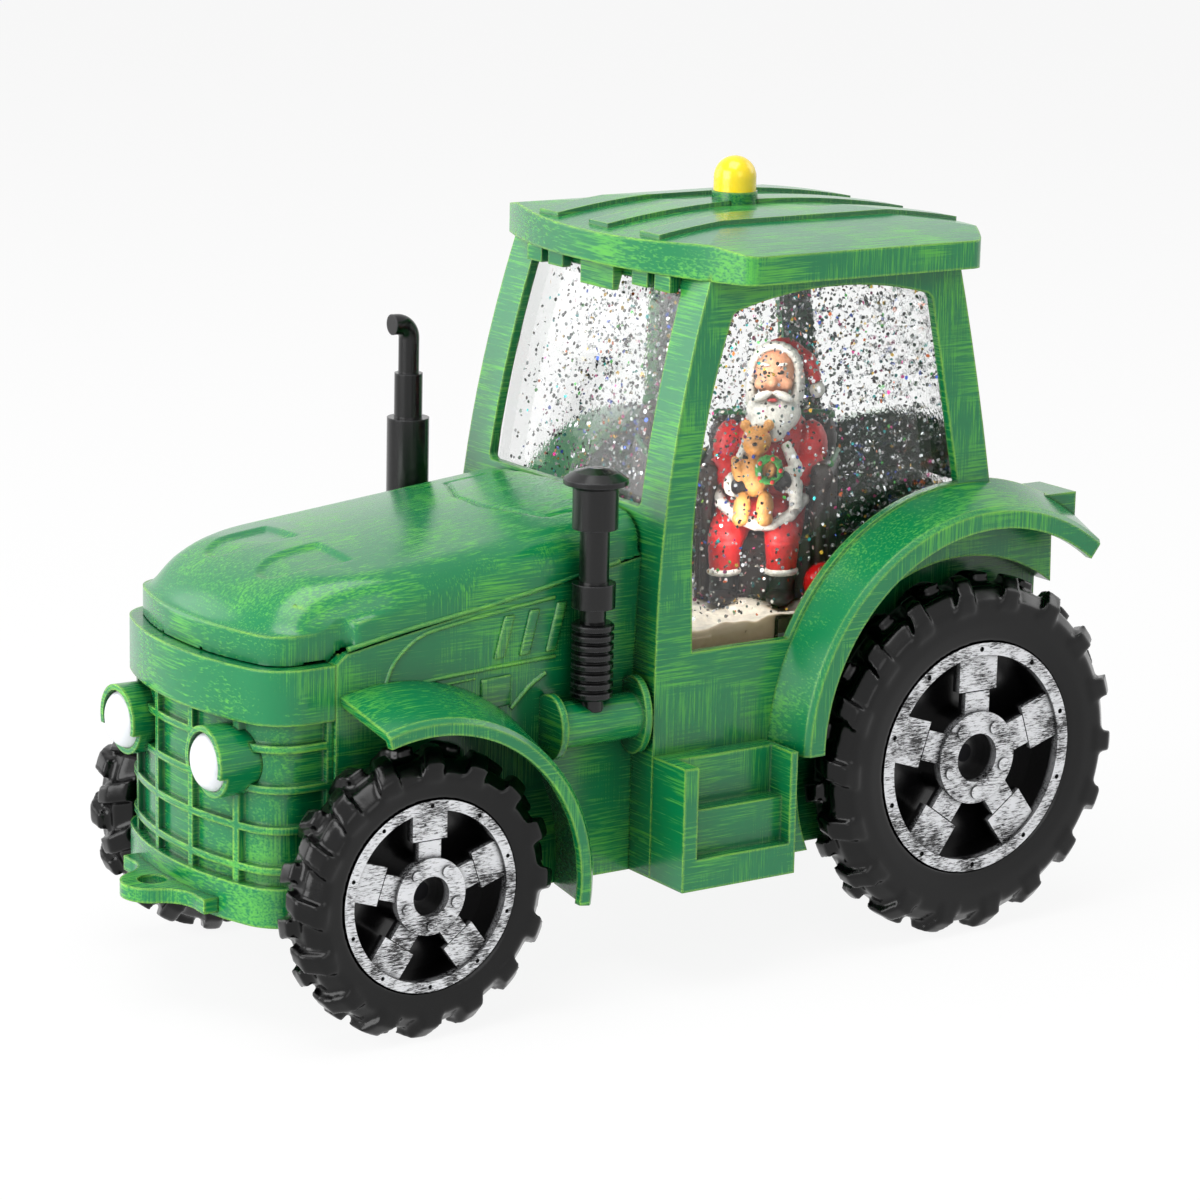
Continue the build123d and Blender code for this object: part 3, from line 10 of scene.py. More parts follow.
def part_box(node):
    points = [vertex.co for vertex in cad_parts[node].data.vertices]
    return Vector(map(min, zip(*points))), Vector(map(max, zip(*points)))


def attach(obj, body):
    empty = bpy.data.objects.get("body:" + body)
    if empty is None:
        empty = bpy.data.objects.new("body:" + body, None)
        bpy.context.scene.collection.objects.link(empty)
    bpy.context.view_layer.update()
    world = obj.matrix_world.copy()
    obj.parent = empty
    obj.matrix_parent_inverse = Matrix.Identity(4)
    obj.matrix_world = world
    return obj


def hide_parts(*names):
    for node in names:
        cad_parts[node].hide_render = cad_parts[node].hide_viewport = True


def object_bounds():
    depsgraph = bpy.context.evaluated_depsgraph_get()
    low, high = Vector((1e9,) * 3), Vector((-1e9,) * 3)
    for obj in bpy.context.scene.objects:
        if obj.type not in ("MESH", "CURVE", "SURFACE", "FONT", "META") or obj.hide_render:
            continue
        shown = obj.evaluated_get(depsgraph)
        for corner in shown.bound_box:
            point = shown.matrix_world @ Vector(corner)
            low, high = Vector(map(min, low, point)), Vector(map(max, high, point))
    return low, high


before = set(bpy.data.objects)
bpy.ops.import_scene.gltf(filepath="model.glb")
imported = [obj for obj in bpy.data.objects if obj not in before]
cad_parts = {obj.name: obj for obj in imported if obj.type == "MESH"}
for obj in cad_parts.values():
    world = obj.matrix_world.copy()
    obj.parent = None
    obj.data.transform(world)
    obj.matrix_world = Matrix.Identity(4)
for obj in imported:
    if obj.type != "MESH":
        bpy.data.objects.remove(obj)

# ------------------------------------------------------------ size, camera, floor and lamps
# The lantern stands on a pale table under plain, soft studio light. Lengths are in metres,
# and mm turns the sizes of small details into them.
mm = 0.001
cad_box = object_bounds()
low, high = Vector(cad_box[0]), Vector(cad_box[1])
middle = (low + high) / 2
scene = bpy.context.scene
scene.view_settings.view_transform = "Standard"


def paint(red, green, blue):
    """Linear colour of a paint given as it looks, each part from 0 to 255."""
    return tuple((part / 255) ** 2.2 for part in (red, green, blue)) + (1.0,)


def put(tree, kind, inputs=None, **settings):
    """Adds a node, sets its settings and sets or joins its inputs."""
    node = tree.nodes.new(kind)
    for name, value in settings.items():
        setattr(node, name, value)
    for name, value in (inputs or {}).items():
        if isinstance(value, bpy.types.NodeSocket):
            tree.links.new(value, node.inputs[name])
        else:
            node.inputs[name].default_value = value
    return node


def calc(tree, operation, first, second=0.0, clamp=False):
    """One step of arithmetic on two values."""
    return put(tree, "ShaderNodeMath", {0: first, 1: second}, operation=operation,
               use_clamp=clamp).outputs[0]


def new_material(name):
    """An empty material: its node tree and its output node."""
    material = bpy.data.materials.new(name)
    material.use_nodes = True
    material.node_tree.nodes.clear()
    return material, material.node_tree, put(material.node_tree, "ShaderNodeOutputMaterial")


def new_object(name, data):
    """A new object in the scene."""
    thing = bpy.data.objects.new(name, data)
    scene.collection.objects.link(thing)
    return thing


def look_frame(azimuth, elevation, roll):
    """Turn of a camera that looks at the lantern from an azimuth and an elevation."""
    back = Vector((math.sin(azimuth) * math.cos(elevation),
                   -math.cos(azimuth) * math.cos(elevation), math.sin(elevation)))
    level = Vector((math.cos(azimuth), math.sin(azimuth), 0))
    upright = back.cross(level)
    right = level * math.cos(roll) + upright * math.sin(roll)
    up = upright * math.cos(roll) - level * math.sin(roll)
    return Matrix((right, up, back)).transposed()


view_azimuth, view_elevation, view_roll, view_distance = 55.76, 13.31, 1.32, 0.80
view_aim = middle + Vector((10.7, -3.9, -7.3)) * mm
camera = new_object("camera", bpy.data.cameras.new("camera"))
camera_turn = look_frame(math.radians(view_azimuth), math.radians(view_elevation),
                         math.radians(view_roll))
camera.matrix_world = (Matrix.Translation(view_aim + camera_turn @ Vector((0, 0, view_distance)))
                       @ camera_turn.to_4x4())
camera.data.sensor_width = 36
camera.data.lens = 116.24
camera.data.clip_end = 20
scene.camera = camera


def looked_at(tree):
    """One for rays that look straight, through glass or in a mirror, and else none."""
    ray = put(tree, "ShaderNodeLightPath").outputs
    straight = calc(tree, "MAXIMUM", ray["Is Camera Ray"], ray["Is Transmission Ray"])
    return calc(tree, "MAXIMUM", straight, ray["Is Glossy Ray"])


floor_half, floor_glow = 6, 0.9
floor_mesh = bpy.data.meshes.new("floor")
floor_mesh.from_pydata([(-floor_half, -floor_half, 0), (floor_half, -floor_half, 0),
                        (floor_half, floor_half, 0), (-floor_half, floor_half, 0)], [],
                       [(0, 1, 2, 3)])
floor = new_object("floor", floor_mesh)
table_white, tree, out = new_material("table_white")
paper = put(tree, "ShaderNodeBsdfDiffuse", {"Color": (0.92, 0.92, 0.92, 1)})
glow = put(tree, "ShaderNodeEmission", {"Color": (1, 1, 1, 1), "Strength": 1.0})
sheet = put(tree, "ShaderNodeMixShader", {0: calc(tree, "MULTIPLY", looked_at(tree), floor_glow),
                                          1: paper.outputs[0], 2: glow.outputs[0]})
tree.links.new(sheet.outputs[0], out.inputs["Surface"])
floor_mesh.materials.append(table_white)

world = bpy.data.worlds.new("studio")
scene.world = world
world.use_nodes = True
tree = world.node_tree
tree.nodes.clear()
white = put(tree, "ShaderNodeBackground", {"Color": (1, 1, 1, 1), "Strength": 1.0})
soft = put(tree, "ShaderNodeBackground", {"Color": (1, 1, 1, 1), "Strength": 0.30})
sky = put(tree, "ShaderNodeMixShader", {0: looked_at(tree), 1: soft.outputs[0],
                                        2: white.outputs[0]})
put(tree, "ShaderNodeOutputWorld", {"Surface": sky.outputs[0]})

for name, place, width, power in (("front_softbox", (0.10, -1.15, 0.40), 0.9, 13.0),
                                  ("left_softbox", (-0.95, -0.72, 0.42), 0.85, 3.5),
                                  ("top_softbox", (0.15, -0.25, 1.15), 0.8, 8.5),
                                  ("side_fill", (1.1, -0.15, 0.55), 0.6, 1.5),
                                  ("rear_softbox", (0.15, 1.1, 0.7), 0.7, 2.4)):
    lamp = bpy.data.lights.new(name, "AREA")
    lamp.shape = "SQUARE"
    lamp.size = width
    lamp.energy = power
    aimed = (Vector(place) - middle).to_track_quat("Z", "Y").to_matrix().to_4x4()
    new_object(name, lamp).matrix_world = Matrix.Translation(place) @ aimed


# ------------------------------------------------------------ green moulded casing
# The casing is moulded in dark green plastic. Lighter green paint was dragged over it with a
# nearly dry brush, so it sits in fine streaks and thickest along every raised edge.
def clouds(tree, scale, detail, place=None, roughness=0.5, distortion=0.0):
    """Soft random patches, at a place or all over the piece's own box."""
    inputs = {"Scale": scale, "Detail": detail, "Roughness": roughness, "Distortion": distortion}
    if place is not None:
        inputs["Vector"] = place
    return put(tree, "ShaderNodeTexNoise", inputs).outputs["Fac"]


def dragged(tree, place, stretch, detail, roughness, distortion):
    """Clouds drawn out into brush strokes: fine across the stroke and long along it."""
    drawn = put(tree, "ShaderNodeMapping", {"Vector": place, "Scale": stretch}).outputs[0]
    return clouds(tree, 1.0, detail, drawn, roughness, distortion)


def stretched(tree, value, low, high, to_low=0.0, to_high=1.0):
    """A value taken from one range to another, and held inside it."""
    return put(tree, "ShaderNodeMapRange", {"Value": value, "From Min": low, "From Max": high,
               "To Min": to_low, "To Max": to_high}).outputs[0]


def mixed(tree, share, first, second, data_type="RGBA", blend_type="MIX"):
    """A mix of two colours, or of two values."""
    return put(tree, "ShaderNodeMix", {"Factor": share, "A": first, "B": second},
               data_type=data_type, blend_type=blend_type).outputs["Result"]


def shelter(tree, distance, samples):
    """One in the open and none deep in a corner."""
    return put(tree, "ShaderNodeAmbientOcclusion", {"Distance": distance},
               samples=samples).outputs["AO"]


def new_group(name, inputs, outputs):
    """An empty node group with named sockets, and what comes in through them."""
    group = bpy.data.node_groups.new(name, "ShaderNodeTree")
    for in_out, sockets in (("INPUT", inputs), ("OUTPUT", outputs)):
        for socket, kind in sockets.items():
            group.interface.new_socket(name=socket, in_out=in_out,
                                       socket_type=f"NodeSocket{kind}")
    return group, put(group, "NodeGroupInput").outputs


def dry_brush_group():
    """Paint dragged over a moulded colour: streaks, worn edges, and painted shade in inner corners.
    """
    group, given = new_group("dry_brush", {"Ground": "Color", "Streaks": "Color",
                             "Edges": "Color", "Streak amount": "Float",
                             "Edge amount": "Float", "Edge width": "Float"},
                             {"Color": "Color", "Roughness": "Float", "Height": "Float",
                              "Rounding": "Vector"})
    place = put(group, "ShaderNodeTexCoord").outputs["Object"]
    normal = put(group, "ShaderNodeNewGeometry").outputs["Normal"]
    facing = put(group, "ShaderNodeSeparateXYZ", {0: normal}).outputs
    upward = calc(group, "POWER", facing["Z"], 2.0)
    frontal = calc(group, "POWER", facing["Y"], 2.0)
    lengthwise, upright, crosswise = (
        dragged(group, place, stretch, 4.0, 0.62, 0.25)
        for stretch in ((3000, 85, 3000), (3000, 3000, 75), (90, 3000, 2400)))
    turned = stretched(group, clouds(group, 45.0, 2.0, place), 0.44, 0.56)
    sides = mixed(group, turned, lengthwise, upright, "FLOAT")
    fronts = mixed(group, frontal, sides, crosswise, "FLOAT")
    drag = mixed(group, upward, fronts, lengthwise, "FLOAT")
    limit = stretched(group, clouds(group, 60.0, 3.0, place), 0.30, 0.70, 0.60, 0.40)
    streak = calc(group, "MULTIPLY", calc(group, "SUBTRACT", drag, limit), 6.0, clamp=True)
    streak = calc(group, "MULTIPLY", streak, given["Streak amount"], clamp=True)
    rounding = put(group, "ShaderNodeBevel", {"Radius": given["Edge width"]}, samples=4).outputs[0]
    bend = put(group, "ShaderNodeVectorMath", {0: rounding, 1: normal}, operation="DOT_PRODUCT")
    sharp = stretched(group, bend.outputs["Value"], 0.995, 0.86)
    outer = stretched(group, shelter(group, 3.5 * mm, 4), 0.62, 0.98)
    edge = calc(group, "MULTIPLY", sharp, outer)
    edge = calc(group, "MULTIPLY", edge, stretched(group, drag, 0.30, 0.52))
    edge = calc(group, "MULTIPLY", edge, given["Edge amount"], clamp=True)
    streaked = mixed(group, streak, given["Ground"], given["Streaks"])
    edged = mixed(group, edge, streaked, given["Edges"])
    # Painted shade: the colour darkens where other parts shelter it within 13 mm, in recesses and
    # between parts.
    shade = stretched(group, shelter(group, 13 * mm, 5), 0.2, 0.85, 0.32, 1.0)
    shaded = mixed(group, 1.0, edged, shade, blend_type="MULTIPLY")
    covered = calc(group, "MAXIMUM", streak, edge)
    put(group, "NodeGroupOutput", {"Color": shaded, "Height": drag, "Rounding": rounding,
        "Roughness": stretched(group, covered, 0.0, 1.0, 0.22, 0.42)})
    return group


dry_brush = dry_brush_group()


def bumped(tree, height, strength, distance, **inputs):
    """Normals of a fine relief."""
    return put(tree, "ShaderNodeBump", {"Height": height, "Strength": strength,
               "Distance": distance, **inputs}).outputs[0]


def surface(tree, out, inputs):
    """The material's one surface, joined to its output."""
    skin = put(tree, "ShaderNodeBsdfPrincipled", inputs)
    tree.links.new(skin.outputs[0], out.inputs["Surface"])


def brushed_plastic(name, ground, streaks, edges, streak_amount, edge_amount, edge_width=0.9 * mm,
                    coat=0.25, shine=0.5):
    """Moulded plastic with dry-brushed paint, and painted shade in its inner corners."""
    material, tree, out = new_material(name)
    brush = put(tree, "ShaderNodeGroup", {"Ground": ground, "Streaks": streaks, "Edges": edges,
                "Streak amount": streak_amount, "Edge amount": edge_amount,
                "Edge width": edge_width}, node_tree=dry_brush).outputs
    surface(tree, out, {"Base Color": brush["Color"], "Roughness": brush["Roughness"],
            "Normal": bumped(tree, brush["Height"], 0.35, 0.06 * mm, Normal=brush["Rounding"]),
            "Coat Weight": coat, "Coat Roughness": 0.16, "Specular IOR Level": shine})
    return material


def finish_nodes(names, material):
    """Gives CAD nodes their finish."""
    for name in names:
        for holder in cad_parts[name].material_slots:
            holder.material = material


casing_green = brushed_plastic("casing_green", paint(6, 118, 70), paint(84, 174, 62),
                               paint(150, 212, 72), 0.9, 1.0, coat=0.3, shine=0.4)
finish_nodes(("cab_frame", "engine_housing", "bonnet", "grille_collar", "front_grille", "roof",
              "roof_lamps", "rear_fender_left", "rear_fender_right", "front_fender_left",
              "front_fender_right", "step_left", "step_right", "tail_block_left",
              "tail_block_right", "tow_hook", "side_canisters", "headlamp_housing_left",
              "headlamp_housing_right"), casing_green)


# ------------------------------------------------------------ headlamps
# Each headlamp is a domed disc under a hooded ring. It is painted pearl white by hand.
lamp_pearl, tree, out = new_material("lamp_pearl")
brushwork = clouds(tree, 700.0, 3.0)
surface(tree, out, {"Base Color": mixed(tree, brushwork, paint(196, 200, 206),
                                        paint(226, 227, 231)),
        "Roughness": 0.32, "Normal": bumped(tree, brushwork, 0.3, 0.1 * mm),
        "Coat Weight": 0.6, "Coat Roughness": 0.15, "Sheen Weight": 0.2})
finish_nodes(("headlamp_lens_left", "headlamp_lens_right"), lamp_pearl)


# ------------------------------------------------------------ beacon
# The warning beacon on the roof is a yellow glossy dome on a short green collar.
beacon_yellow, tree, out = new_material("beacon_yellow")
surface(tree, out, {"Base Color": mixed(tree, clouds(tree, 250.0, 2.0), paint(250, 205, 0),
                                        paint(255, 226, 12)),
        "Roughness": 0.2, "Coat Weight": 0.3, "Coat Roughness": 0.06,
        "Subsurface Weight": 0.15, "Subsurface Radius": (2.0 * mm, 1.5 * mm, 0.2 * mm)})
finish_nodes(("beacon_lens",), beacon_yellow)
finish_nodes(("beacon_base",), casing_green)


# ------------------------------------------------------------ black pipes and tyres
# The air intake, its ribbed boot and the exhaust stand beside the bonnet. They and the tyres
# are black glossy mouldings, a little scuffed along their edges.
pipe_black = brushed_plastic("pipe_black", paint(10, 10, 11), paint(30, 30, 32),
                             paint(70, 70, 74), 0.2, 0.5, 0.5 * mm, 0.35, 0.25)
finish_nodes(("air_intake", "intake_boot", "exhaust_pipe"), pipe_black)
tyre_black = brushed_plastic("tyre_black", paint(8, 8, 9), paint(24, 24, 26),
                             paint(60, 60, 62), 0.12, 0.3, 0.5 * mm, 0.34, 0.14)
finish_nodes(("tyre_rear_left", "tyre_rear_right", "tyre_front_left", "tyre_front_right"),
             tyre_black)


# ------------------------------------------------------------ rims
# Each rim is moulded in the black of the tyre. Silver paint was dragged over its ring, its
# spokes and its hub, and the dish behind them stayed black.
def silver_over_black(name, ring_x):
    """Black plastic with silver on what stands as far out as ring_x."""
    material, tree, out = new_material(name)
    place = put(tree, "ShaderNodeTexCoord").outputs["Object"]
    normal = put(tree, "ShaderNodeNewGeometry").outputs["Normal"]
    off, outward = (calc(tree, "ABSOLUTE", put(tree, "ShaderNodeSeparateXYZ",
                                               {0: along}).outputs["X"])
                    for along in (place, normal))
    raised = stretched(tree, off, ring_x - 2.2 * mm, ring_x - 1.2 * mm)
    flat = stretched(tree, outward, 0.35, 0.75, 0.25, 1.0)
    drag = dragged(tree, place, (2600, 620, 4200), 5.0, 0.7, 0.5)
    limit = stretched(tree, clouds(tree, 170.0, 3.0, place), 0.32, 0.68, 0.50, 0.30)
    streak = calc(tree, "MULTIPLY", calc(tree, "SUBTRACT", drag, limit), 7.0, clamp=True)
    outer = stretched(tree, shelter(tree, 1.2 * mm, 4), 0.55, 0.85)
    mask = calc(tree, "MULTIPLY", raised, streak)
    mask = calc(tree, "MULTIPLY", mask, flat)
    mask = calc(tree, "MULTIPLY", mask, outer, clamp=True)
    surface(tree, out, {"Base Color": mixed(tree, mask, paint(20, 20, 21), paint(226, 227, 230)),
            "Metallic": calc(tree, "MULTIPLY", mask, 0.45),
            "Roughness": stretched(tree, mask, 0.0, 1.0, 0.2, 0.48),
            "Normal": bumped(tree, mask, 0.5, 0.08 * mm),
            "Coat Weight": 0.2, "Coat Roughness": 0.2})
    return material


nut_rise = 0.5 * mm
for end in ("rear", "front"):
    ring_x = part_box(f"rim_{end}_left")[1][0] - nut_rise
    finish_nodes((f"rim_{end}_left", f"rim_{end}_right"), silver_over_black(f"rim_{end}", ring_x))


# ------------------------------------------------------------ steel, battery and drive parts
# Plated axles and screws, the motor can, the cells and their springs sit under the casing.
# They are plain bought parts, marked only by handling.
def toned(colour, share):
    """A colour made lighter or darker."""
    return tuple(min(1.0, share * part) for part in colour[:3]) + (1,)


def worn_metal(name, colour, roughness, scale):
    """Plated metal, with cloudy handling marks."""
    material, tree, out = new_material(name)
    marks = clouds(tree, scale, 6.0, roughness=0.6)
    surface(tree, out, {"Base Color": mixed(tree, marks, toned(colour, 0.72), colour),
            "Metallic": 1.0,
            "Roughness": stretched(tree, marks, 0.0, 1.0, roughness - 0.1, roughness + 0.12)})
    return material


for names, name, colour, roughness, scale in (
        (("base_screws",), "plated_steel", paint(188, 188, 186), 0.3, 600.0),
        (("front_axle", "rear_axle"), "blackened_steel", paint(38, 38, 40), 0.4, 600.0),
        (("battery_contacts",), "contact_nickel", paint(205, 202, 190), 0.25, 900.0),
        (("motor",), "motor_steel", paint(172, 174, 176), 0.32, 350.0),
        (("drive_magnet",), "magnet_dark", paint(70, 70, 73), 0.4, 500.0)):
    finish_nodes(names, worn_metal(name, colour, roughness, scale))


def moulded(name, colour, roughness, scale, coat):
    """Plain moulded or painted surface: faint clouds of tone and a fine grain."""
    material, tree, out = new_material(name)
    tone = clouds(tree, scale, 4.0)
    surface(tree, out, {"Base Color": mixed(tree, tone, toned(colour, 0.80), toned(colour, 1.08)),
            "Roughness": stretched(tree, tone, 0.0, 1.0, roughness - 0.07, roughness + 0.07),
            "Normal": bumped(tree, clouds(tree, scale * 12, 2.0), 0.5, 0.03 * mm),
            "Coat Weight": coat, "Coat Roughness": 0.12})
    return material


for names, name, colour, roughness, scale, coat in (
        (("base_plate", "battery_door", "battery_box"), "base_green", paint(12, 96, 58), 0.5,
         220.0, 0.0),
        (("battery_cells",), "cell_jacket", paint(64, 68, 76), 0.35, 160.0, 0.4),
        (("tank_tray", "motor_bracket", "impeller", "tank_base"), "white_plastic",
         paint(226, 226, 221), 0.5, 200.0, 0.0),
        (("circuit_board",), "board_green", paint(30, 105, 55), 0.35, 500.0, 0.0),
        (("led",), "led_clear", paint(240, 238, 214), 0.2, 300.0, 0.8),
        (("tank_seal", "filler_plug"), "seal_rubber", paint(48, 48, 48), 0.65, 300.0, 0.0),
        (("switch_body", "switch_slider"), "switch_black", paint(32, 32, 33), 0.5, 400.0, 0.0)):
    finish_nodes(names, moulded(name, colour, roughness, scale, coat))


# ------------------------------------------------------------ bonnet
# The bonnet is a separate hollow moulding with a round nose and soft sides. Two shallow
# D-shaped pans are sunk in its top behind the nose, and the outline of a pointed panel is
# drawn in front of the windscreen.
bonnet_low, bonnet_high = (Vector(corner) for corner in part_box("bonnet"))
pan_rear, pan_lead, pan_inner, pan_outer = -67.5 * mm, 16 * mm, 4 * mm, 17 * mm
pan_depth, pan_edge = 0.8 * mm, 0.8 * mm
panel_front, panel_rear, panel_half = -29.5 * mm, -13.0 * mm, 19 * mm
panel_tip_half, panel_slant = 5 * mm, 0.45
line_depth, line_half = 0.45 * mm, 0.7 * mm


def pan_sink(x, y):
    """How far the two pans and the panel's outline sink the bonnet's top at x, y."""
    across = abs(x)
    mid, half = (pan_inner + pan_outer) / 2, (pan_outer - pan_inner) / 2
    straight_len = half * 0.7
    behind_bow = y - pan_rear + straight_len
    if behind_bow < 0:
        bow_len = pan_lead - straight_len
        reach = math.hypot((across - mid) / half, behind_bow / bow_len)
        inside = (1 - reach) * min(half, bow_len)
    else:
        inside = min(half - abs(across - mid), pan_rear - y)
    sunk = pan_depth * min(1.0, max(0.0, inside / pan_edge + 0.5))
    point = panel_front + max(0.0, across - panel_tip_half) * panel_slant
    edge = min(abs(y - point) if across < panel_half else 1.0,
               abs(across - panel_half) if point < y < panel_rear else 1.0)
    return sunk + line_depth * max(0.0, 1 - edge / line_half)


def add_piece(name, data, body, material):
    """A named piece that rides on a body of the frame."""
    piece = new_object(name, data)
    data.materials.clear()
    data.materials.append(material)
    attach(piece, body)
    return piece


def shade_smooth(mesh):
    """Shades a mesh as one round surface."""
    mesh.polygons.foreach_set("use_smooth", [True] * len(mesh.polygons))


def melt(piece, grain, rounds):
    """Makes a piece's mesh into one skin of even grain and softens its edges."""
    skin = piece.modifiers.new("skin", "REMESH")
    skin.mode = "VOXEL"
    skin.voxel_size = grain
    soft = piece.modifiers.new("soft", "SMOOTH")
    soft.factor = 0.5
    soft.iterations = rounds
    result = piece.evaluated_get(bpy.context.evaluated_depsgraph_get())
    result = bpy.data.meshes.new_from_object(result)
    piece.modifiers.clear()
    piece.data = result
    shade_smooth(result)


bonnet_skin = add_piece("bonnet_skin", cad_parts["bonnet"].data.copy(), "casing",
                        casing_green)
melt(bonnet_skin, 0.5 * mm, 2)
skin = bmesh.new()
skin.from_mesh(bonnet_skin.data)
both_sides = BVHTree.FromBMesh(skin)
lining = [corner for corner in skin.verts if corner.normal.z < -0.5
          or both_sides.ray_cast(corner.co + corner.normal * 0.3 * mm, corner.normal)[0]]
bmesh.ops.delete(skin, geom=lining, context="VERTS")
nose_len, nose_drop, nose_bow = 24 * mm, 12.5 * mm, 71.5 * mm
side_len, side_drop, corner_r, crown_slope = 9 * mm, 8.5 * mm, 10 * mm, 0.105
ledge, ledge_end, ledge_blend, corner_back = 2.6 * mm, -70 * mm, 10 * mm, 2 * mm
wall_top, top_lowest, smooth_passes = 7 * mm, 6 * mm, 36
for corner in skin.verts:
    x, y, z = corner.co
    behind = (y - bonnet_low.y - nose_bow + math.sqrt(nose_bow ** 2 - x ** 2)) / nose_len
    behind = min(1.0, max(0.0, behind))
    turned = corner_r - min(corner_r, max(0.0, y - bonnet_low.y - corner_back))
    widened = min(1.0, max(0.0, (y - ledge_end + ledge_blend) / (2 * ledge_blend)))
    half = (bonnet_high.x - corner_r + math.sqrt(corner_r ** 2 - turned ** 2)
            - ledge * (1 - widened * widened * (3 - 2 * widened)))
    inward = min(1.0, max(0.0, (half - abs(x)) / side_len))
    top = bonnet_high.z - crown_slope * (bonnet_high.y - y)
    fall = (nose_drop * (1 - math.sqrt(1 - (1 - behind) ** 2))
            + side_drop * (1 - math.sqrt(1 - (1 - inward) ** 2)))
    if z > bonnet_low.z + wall_top:
        corner.co.z = min(z, max(top - fall, bonnet_low.z + top_lowest))
free = [corner for corner in skin.verts if not corner.is_boundary]
for _ in range(smooth_passes):
    bmesh.ops.smooth_vert(skin, verts=free, factor=0.5, use_axis_x=True, use_axis_y=True,
                          use_axis_z=True)
skin.normal_update()
upper = [corner for corner in skin.verts
         if corner.normal.z > 0.45 and corner.co.z > bonnet_low.z + wall_top + 1 * mm]
for corner in upper:
    corner.co.z -= pan_sink(corner.co.x, corner.co.y)
skin.to_mesh(bonnet_skin.data)
skin.free()
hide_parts("bonnet")


# ------------------------------------------------------------ raised lines on the sides
# The bonnet's seam, a swept line and lower mouldings stand proud of both sides of the engine
# housing, with three slanted vents and a square plate. They are moulded with it.
vent_green = brushed_plastic("vent_green", paint(18, 112, 62), paint(96, 172, 66),
                             paint(168, 214, 88), 0.9, 1.0, 0.6 * mm)
side_lines = (
    ("seam", 0.55, ((-76, 76.8), (-64.5, 79), (-53.1, 80.6), (-41.5, 82.3), (-29.9, 84.3),
                    (-13.2, 87.5))),
    ("swept", 0.5, ((-67.7, 67.8), (-66.6, 71.6), (-64.4, 74.4), (-59.9, 77.8), (-53.1, 79.0),
                    (-41.5, 80.5), (-28.6, 81.9))),
    ("lower", 0.5, ((-76.5, 66.3), (-64.3, 67.8), (-52.9, 68.7), (-41.3, 69.3), (-28.3, 69.8))),
    ("under", 0.35, ((-76.5, 64.9), (-64.3, 66.3), (-52.9, 67.2), (-47, 67.5))),
    ("pipe", 0.6, ((-38.6, 60.4), (-36.4, 62.4), (-34, 64.8), (-30.5, 66.6))),
)
vents = (((-41.6, 70.9), (-39.2, 79.4)), ((-35.7, 70.9), (-33.3, 80.0)),
         ((-29.5, 71.0), (-26.9, 80.8)))
vent_half = 1.2
square_plate = ((-45.7, 60.8), (-38.8, 61.2), (-38.8, 67.5), (-45.7, 67.1))
outlines = [((low_y - vent_half, low_z), (low_y + vent_half, low_z),
             (high_y + vent_half, high_z), (high_y - vent_half, high_z))
            for (low_y, low_z), (high_y, high_z) in vents] + [square_plate]
side_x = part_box("engine_housing")[1][0]
line_sunk, plate_sunk, plate_raised = 0.12 * mm, 0.6 * mm, 0.55 * mm
for side, hand in ((1, "left"), (-1, "right")):
    for name, radius, points in side_lines:
        drawn = bpy.data.curves.new(f"line_{name}_{hand}", "CURVE")
        drawn.dimensions = "3D"
        drawn.bevel_depth = radius * mm
        drawn.bevel_resolution = 3
        drawn.use_fill_caps = True
        line = drawn.splines.new("NURBS")
        line.points.add(len(points) - 1)
        for knot, (y, z) in zip(line.points, points):
            knot.co = (side * (side_x - line_sunk), y * mm, z * mm, 1)
        line.order_u = 3
        line.use_endpoint_u = True
        add_piece(f"line_{name}_{hand}", drawn, "casing", casing_green)
    plates = bmesh.new()
    for outline in outlines:
        base, top = ([plates.verts.new((side * x, y * mm, z * mm)) for y, z in outline]
                     for x in (side_x - plate_sunk, side_x + plate_raised))
        plates.faces.new(top)
        plates.faces.new(base[::-1])
        for at in range(4):
            plates.faces.new((base[at], base[(at + 1) % 4], top[(at + 1) % 4], top[at]))
    bmesh.ops.recalc_face_normals(plates, faces=plates.faces)
    bmesh.ops.bevel(plates, geom=list(plates.edges), offset=0.35 * mm, segments=3,
                    affect="EDGES", profile=0.5)
    mesh = bpy.data.meshes.new(f"vents_{hand}")
    plates.to_mesh(mesh)
    plates.free()
    shade_smooth(mesh)
    add_piece(f"vents_{hand}", mesh, "casing", vent_green)


# ------------------------------------------------------------ tyre treads
# Each tyre is one hard black moulding, pushed over its rim. Its lugs and shoulders came out
# of the mould with soft corners.
for end in ("rear", "front"):
    for hand in ("left", "right"):
        tyre = f"tyre_{end}_{hand}"
        tread = add_piece(f"tread_{end}_{hand}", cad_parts[tyre].data.copy(),
                          f"{end}_wheelset", tyre_black)
        melt(tread, 0.55 * mm, 6)
        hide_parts(tyre)


# ------------------------------------------------------------ tank and water
# The tank is one clear moulding, glued to its base and filled to the top with water. The
# water takes the shape of the tank's inner wall and bends what is seen through it.
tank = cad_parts["tank"]
tank_low, tank_high = (Vector(corner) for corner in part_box("tank"))
floor_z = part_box("snow_base")[0][2]


def let_light_through(tree, out, glass):
    """Lets lamp light and soft bounces pass straight through a clear piece."""
    ray = put(tree, "ShaderNodeLightPath").outputs
    passing = calc(tree, "MAXIMUM", ray["Is Shadow Ray"], ray["Is Diffuse Ray"])
    clear = put(tree, "ShaderNodeBsdfTransparent", {"Color": (0.97, 0.98, 0.98, 1)})
    both = put(tree, "ShaderNodeMixShader", {0: passing, 1: glass.outputs[0],
                                             2: clear.outputs[0]})
    tree.links.new(both.outputs[0], out.inputs["Surface"])


